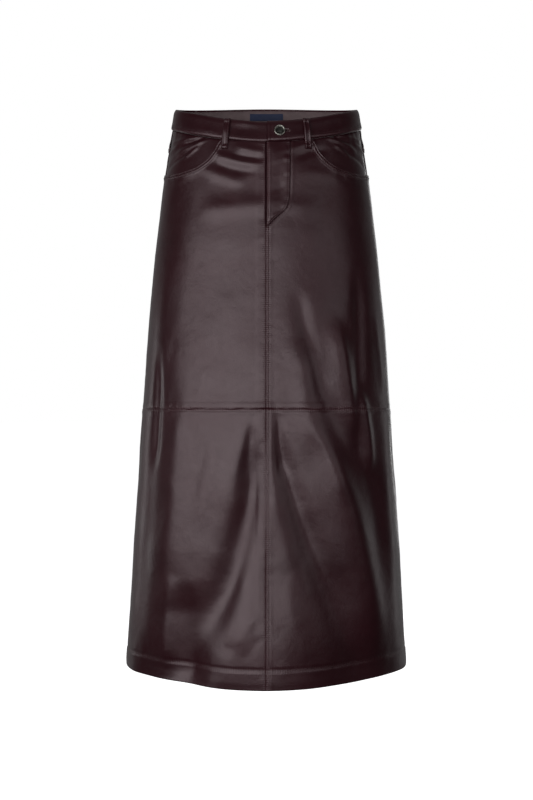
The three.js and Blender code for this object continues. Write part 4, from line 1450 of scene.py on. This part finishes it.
def surround(tree):
    """White behind the skirt, dim in front of it, and white wherever the camera looks past it."""
    way = node(tree, "ShaderNodeTexCoord").outputs["Generated"]
    parts = node(tree, "ShaderNodeSeparateXYZ", {0: way})
    behind = in_range(tree, parts.outputs["Y"], 0.03, 0.25, 0.12, 0.7)
    grey = node(tree, "ShaderNodeCombineColor", {0: behind, 1: behind, 2: behind}).outputs[0]
    seen = node(tree, "ShaderNodeLightPath").outputs["Is Camera Ray"]
    tree.links.new(blend(tree, seen, grey, WHITE), tree.nodes["Background"].inputs["Color"])


# The add-on

class SkirtSizes(bpy.types.PropertyGroup):
    leather_wall: FloatProperty(
        name="Leather thickness", description="Thickness of the leather with its backing",
        default=LEATHER * MM, min=0.0005, max=0.003, unit="LENGTH", subtype="DISTANCE",
    )
    cell: FloatProperty(
        name="Mesh size", description="Distance between columns in the middle of a panel",
        default=0.0024, min=0.001, max=0.02, unit="LENGTH", subtype="DISTANCE",
    )
    stitch_pitch: FloatProperty(
        name="Stitch length", description="Distance from one stitch to the next",
        default=0.0029, min=0.001, max=0.01, unit="LENGTH", subtype="DISTANCE",
    )
    thread: FloatProperty(
        name="Thread thickness", description="Diameter of the sewing thread",
        default=0.0005, min=0.0002, max=0.002, unit="LENGTH", subtype="DISTANCE",
    )
    pucker: FloatProperty(
        name="Pucker", description="Height of the small waves along the seams",
        default=0.00028, min=0, max=0.002, unit="LENGTH", subtype="DISTANCE",
    )


def colour_property(name, description, default):
    return FloatVectorProperty(
        name=name, description=description, default=default, size=3, min=0, max=1, subtype="COLOR"
    )


class SkirtColours(bpy.types.PropertyGroup):
    leather: colour_property("Leather", "Grain side of the leather", (0.026, 0.0045, 0.0072))
    backing: colour_property("Backing", "Knitted back of the leather", (0.045, 0.022, 0.024))
    facing: colour_property("Facing", "Woven facing of the waistband", (0.16, 0.11, 0.115))
    thread: colour_property("Thread", "Sewing thread", (0.05, 0.018, 0.02))
    metal: colour_property("Metal", "Button, tack back and zip teeth", (0.09, 0.088, 0.08))
    label: colour_property("Label", "Woven label", (0.008, 0.018, 0.07))
    tape: colour_property("Zip tape", "Woven zip tape", (0.03, 0.012, 0.014))
    floor: colour_property("Floor", "Studio floor", (0.9, 0.9, 0.9))


class StudioOperator(bpy.types.Operator):
    """Set up the camera, the soft light and the floor"""
    bl_idname = "skirt.studio"
    bl_label = "Studio"

    def execute(self, context):
        studio()
        return {"FINISHED"}


class FrontPanelsOperator(bpy.types.Operator):
    """Make the front panels above and below the thigh seam"""
    bl_idname = "skirt.front_panels"
    bl_label = "Front panels"

    def execute(self, context):
        cell = context.scene.skirt_sizes.cell / MM
        for side, word in SIDES:
            front_upper(side, word, cell)
            lower(side, word, 0, cell)
        return {"FINISHED"}


class BackPanelsOperator(bpy.types.Operator):
    """Make the back panels above and below the thigh seam"""
    bl_idname = "skirt.back_panels"
    bl_label = "Back panels"

    def execute(self, context):
        cell = context.scene.skirt_sizes.cell / MM * 1.4
        for side, word in SIDES:
            back_upper(side, word, cell)
            lower(side, word, 90, cell)
        return {"FINISHED"}


class AllowancesOperator(bpy.types.Operator):
    """Make the seam allowances inside the skirt"""
    bl_idname = "skirt.allowances"
    bl_label = "Seam allowances"

    def execute(self, context):
        allowances()
        return {"FINISHED"}


class YokesOperator(bpy.types.Operator):
    """Make the two halves of the back yoke"""
    bl_idname = "skirt.yokes"
    bl_label = "Back yoke"

    def execute(self, context):
        for side, word in SIDES:
            yoke(side, word, context.scene.skirt_sizes.cell / MM)
        return {"FINISHED"}


class PocketFacingsOperator(bpy.types.Operator):
    """Make the leather behind the pocket mouths"""
    bl_idname = "skirt.pocket_facings"
    bl_label = "Pocket facings"

    def execute(self, context):
        for side, word in SIDES:
            pocket_facing(side, word)
        return {"FINISHED"}


class WaistbandOperator(bpy.types.Operator):
    """Make the waistband and the facing inside it"""
    bl_idname = "skirt.waistband"
    bl_label = "Waistband"

    def execute(self, context):
        waistband()
        waistband_facing()
        return {"FINISHED"}


class FlyOperator(bpy.types.Operator):
    """Make the fly and the zip behind it"""
    bl_idname = "skirt.fly"
    bl_label = "Fly and zip"

    def execute(self, context):
        fly()
        zip_fastener()
        return {"FINISHED"}


class BeltLoopsOperator(bpy.types.Operator):
    """Make the five belt loops"""
    bl_idname = "skirt.belt_loops"
    bl_label = "Belt loops"

    def execute(self, context):
        for name, angle in LOOPS.items():
            belt_loop(name, angle)
        return {"FINISHED"}


class ButtonOperator(bpy.types.Operator):
    """Make the waist button and its back"""
    bl_idname = "skirt.button"
    bl_label = "Waist button"

    def execute(self, context):
        waist_button()
        return {"FINISHED"}


class LabelOperator(bpy.types.Operator):
    """Make the plain woven label"""
    bl_idname = "skirt.label"
    bl_label = "Label"

    def execute(self, context):
        label()
        return {"FINISHED"}


class SewingOperator(bpy.types.Operator):
    """Sew the rows of stitches and the bar tacks"""
    bl_idname = "skirt.sewing"
    bl_label = "Sewing"

    def execute(self, context):
        sewing()
        return {"FINISHED"}


STEPS = (
    StudioOperator, FrontPanelsOperator, BackPanelsOperator, AllowancesOperator, YokesOperator,
    PocketFacingsOperator, WaistbandOperator, FlyOperator, BeltLoopsOperator, ButtonOperator,
    LabelOperator, SewingOperator,
)


class SkirtPanel(bpy.types.Panel):
    """Sizes, colours and steps of the skirt"""
    bl_idname = "VIEW3D_PT_skirt"
    bl_label = "Leather skirt"
    bl_space_type = "VIEW_3D"
    bl_region_type = "UI"
    bl_category = "Skirt"

    def draw(self, context):
        for group in (context.scene.skirt_sizes, context.scene.skirt_colours):
            for key in group.__annotations__:
                self.layout.prop(group, key)
        for step in STEPS:
            self.layout.operator(step.bl_idname)


CLASSES = (SkirtSizes, SkirtColours, *STEPS, SkirtPanel)


def register():
    for one in CLASSES:
        bpy.utils.register_class(one)
    bpy.types.Scene.skirt_sizes = PointerProperty(type=SkirtSizes)
    bpy.types.Scene.skirt_colours = PointerProperty(type=SkirtColours)


def unregister():
    del bpy.types.Scene.skirt_sizes
    del bpy.types.Scene.skirt_colours
    for one in reversed(CLASSES):
        bpy.utils.unregister_class(one)


def main():
    register()
    for step in STEPS:
        group, name = step.bl_idname.split(".")
        getattr(getattr(bpy.ops, group), name)()


if __name__ == "__main__":
    main()
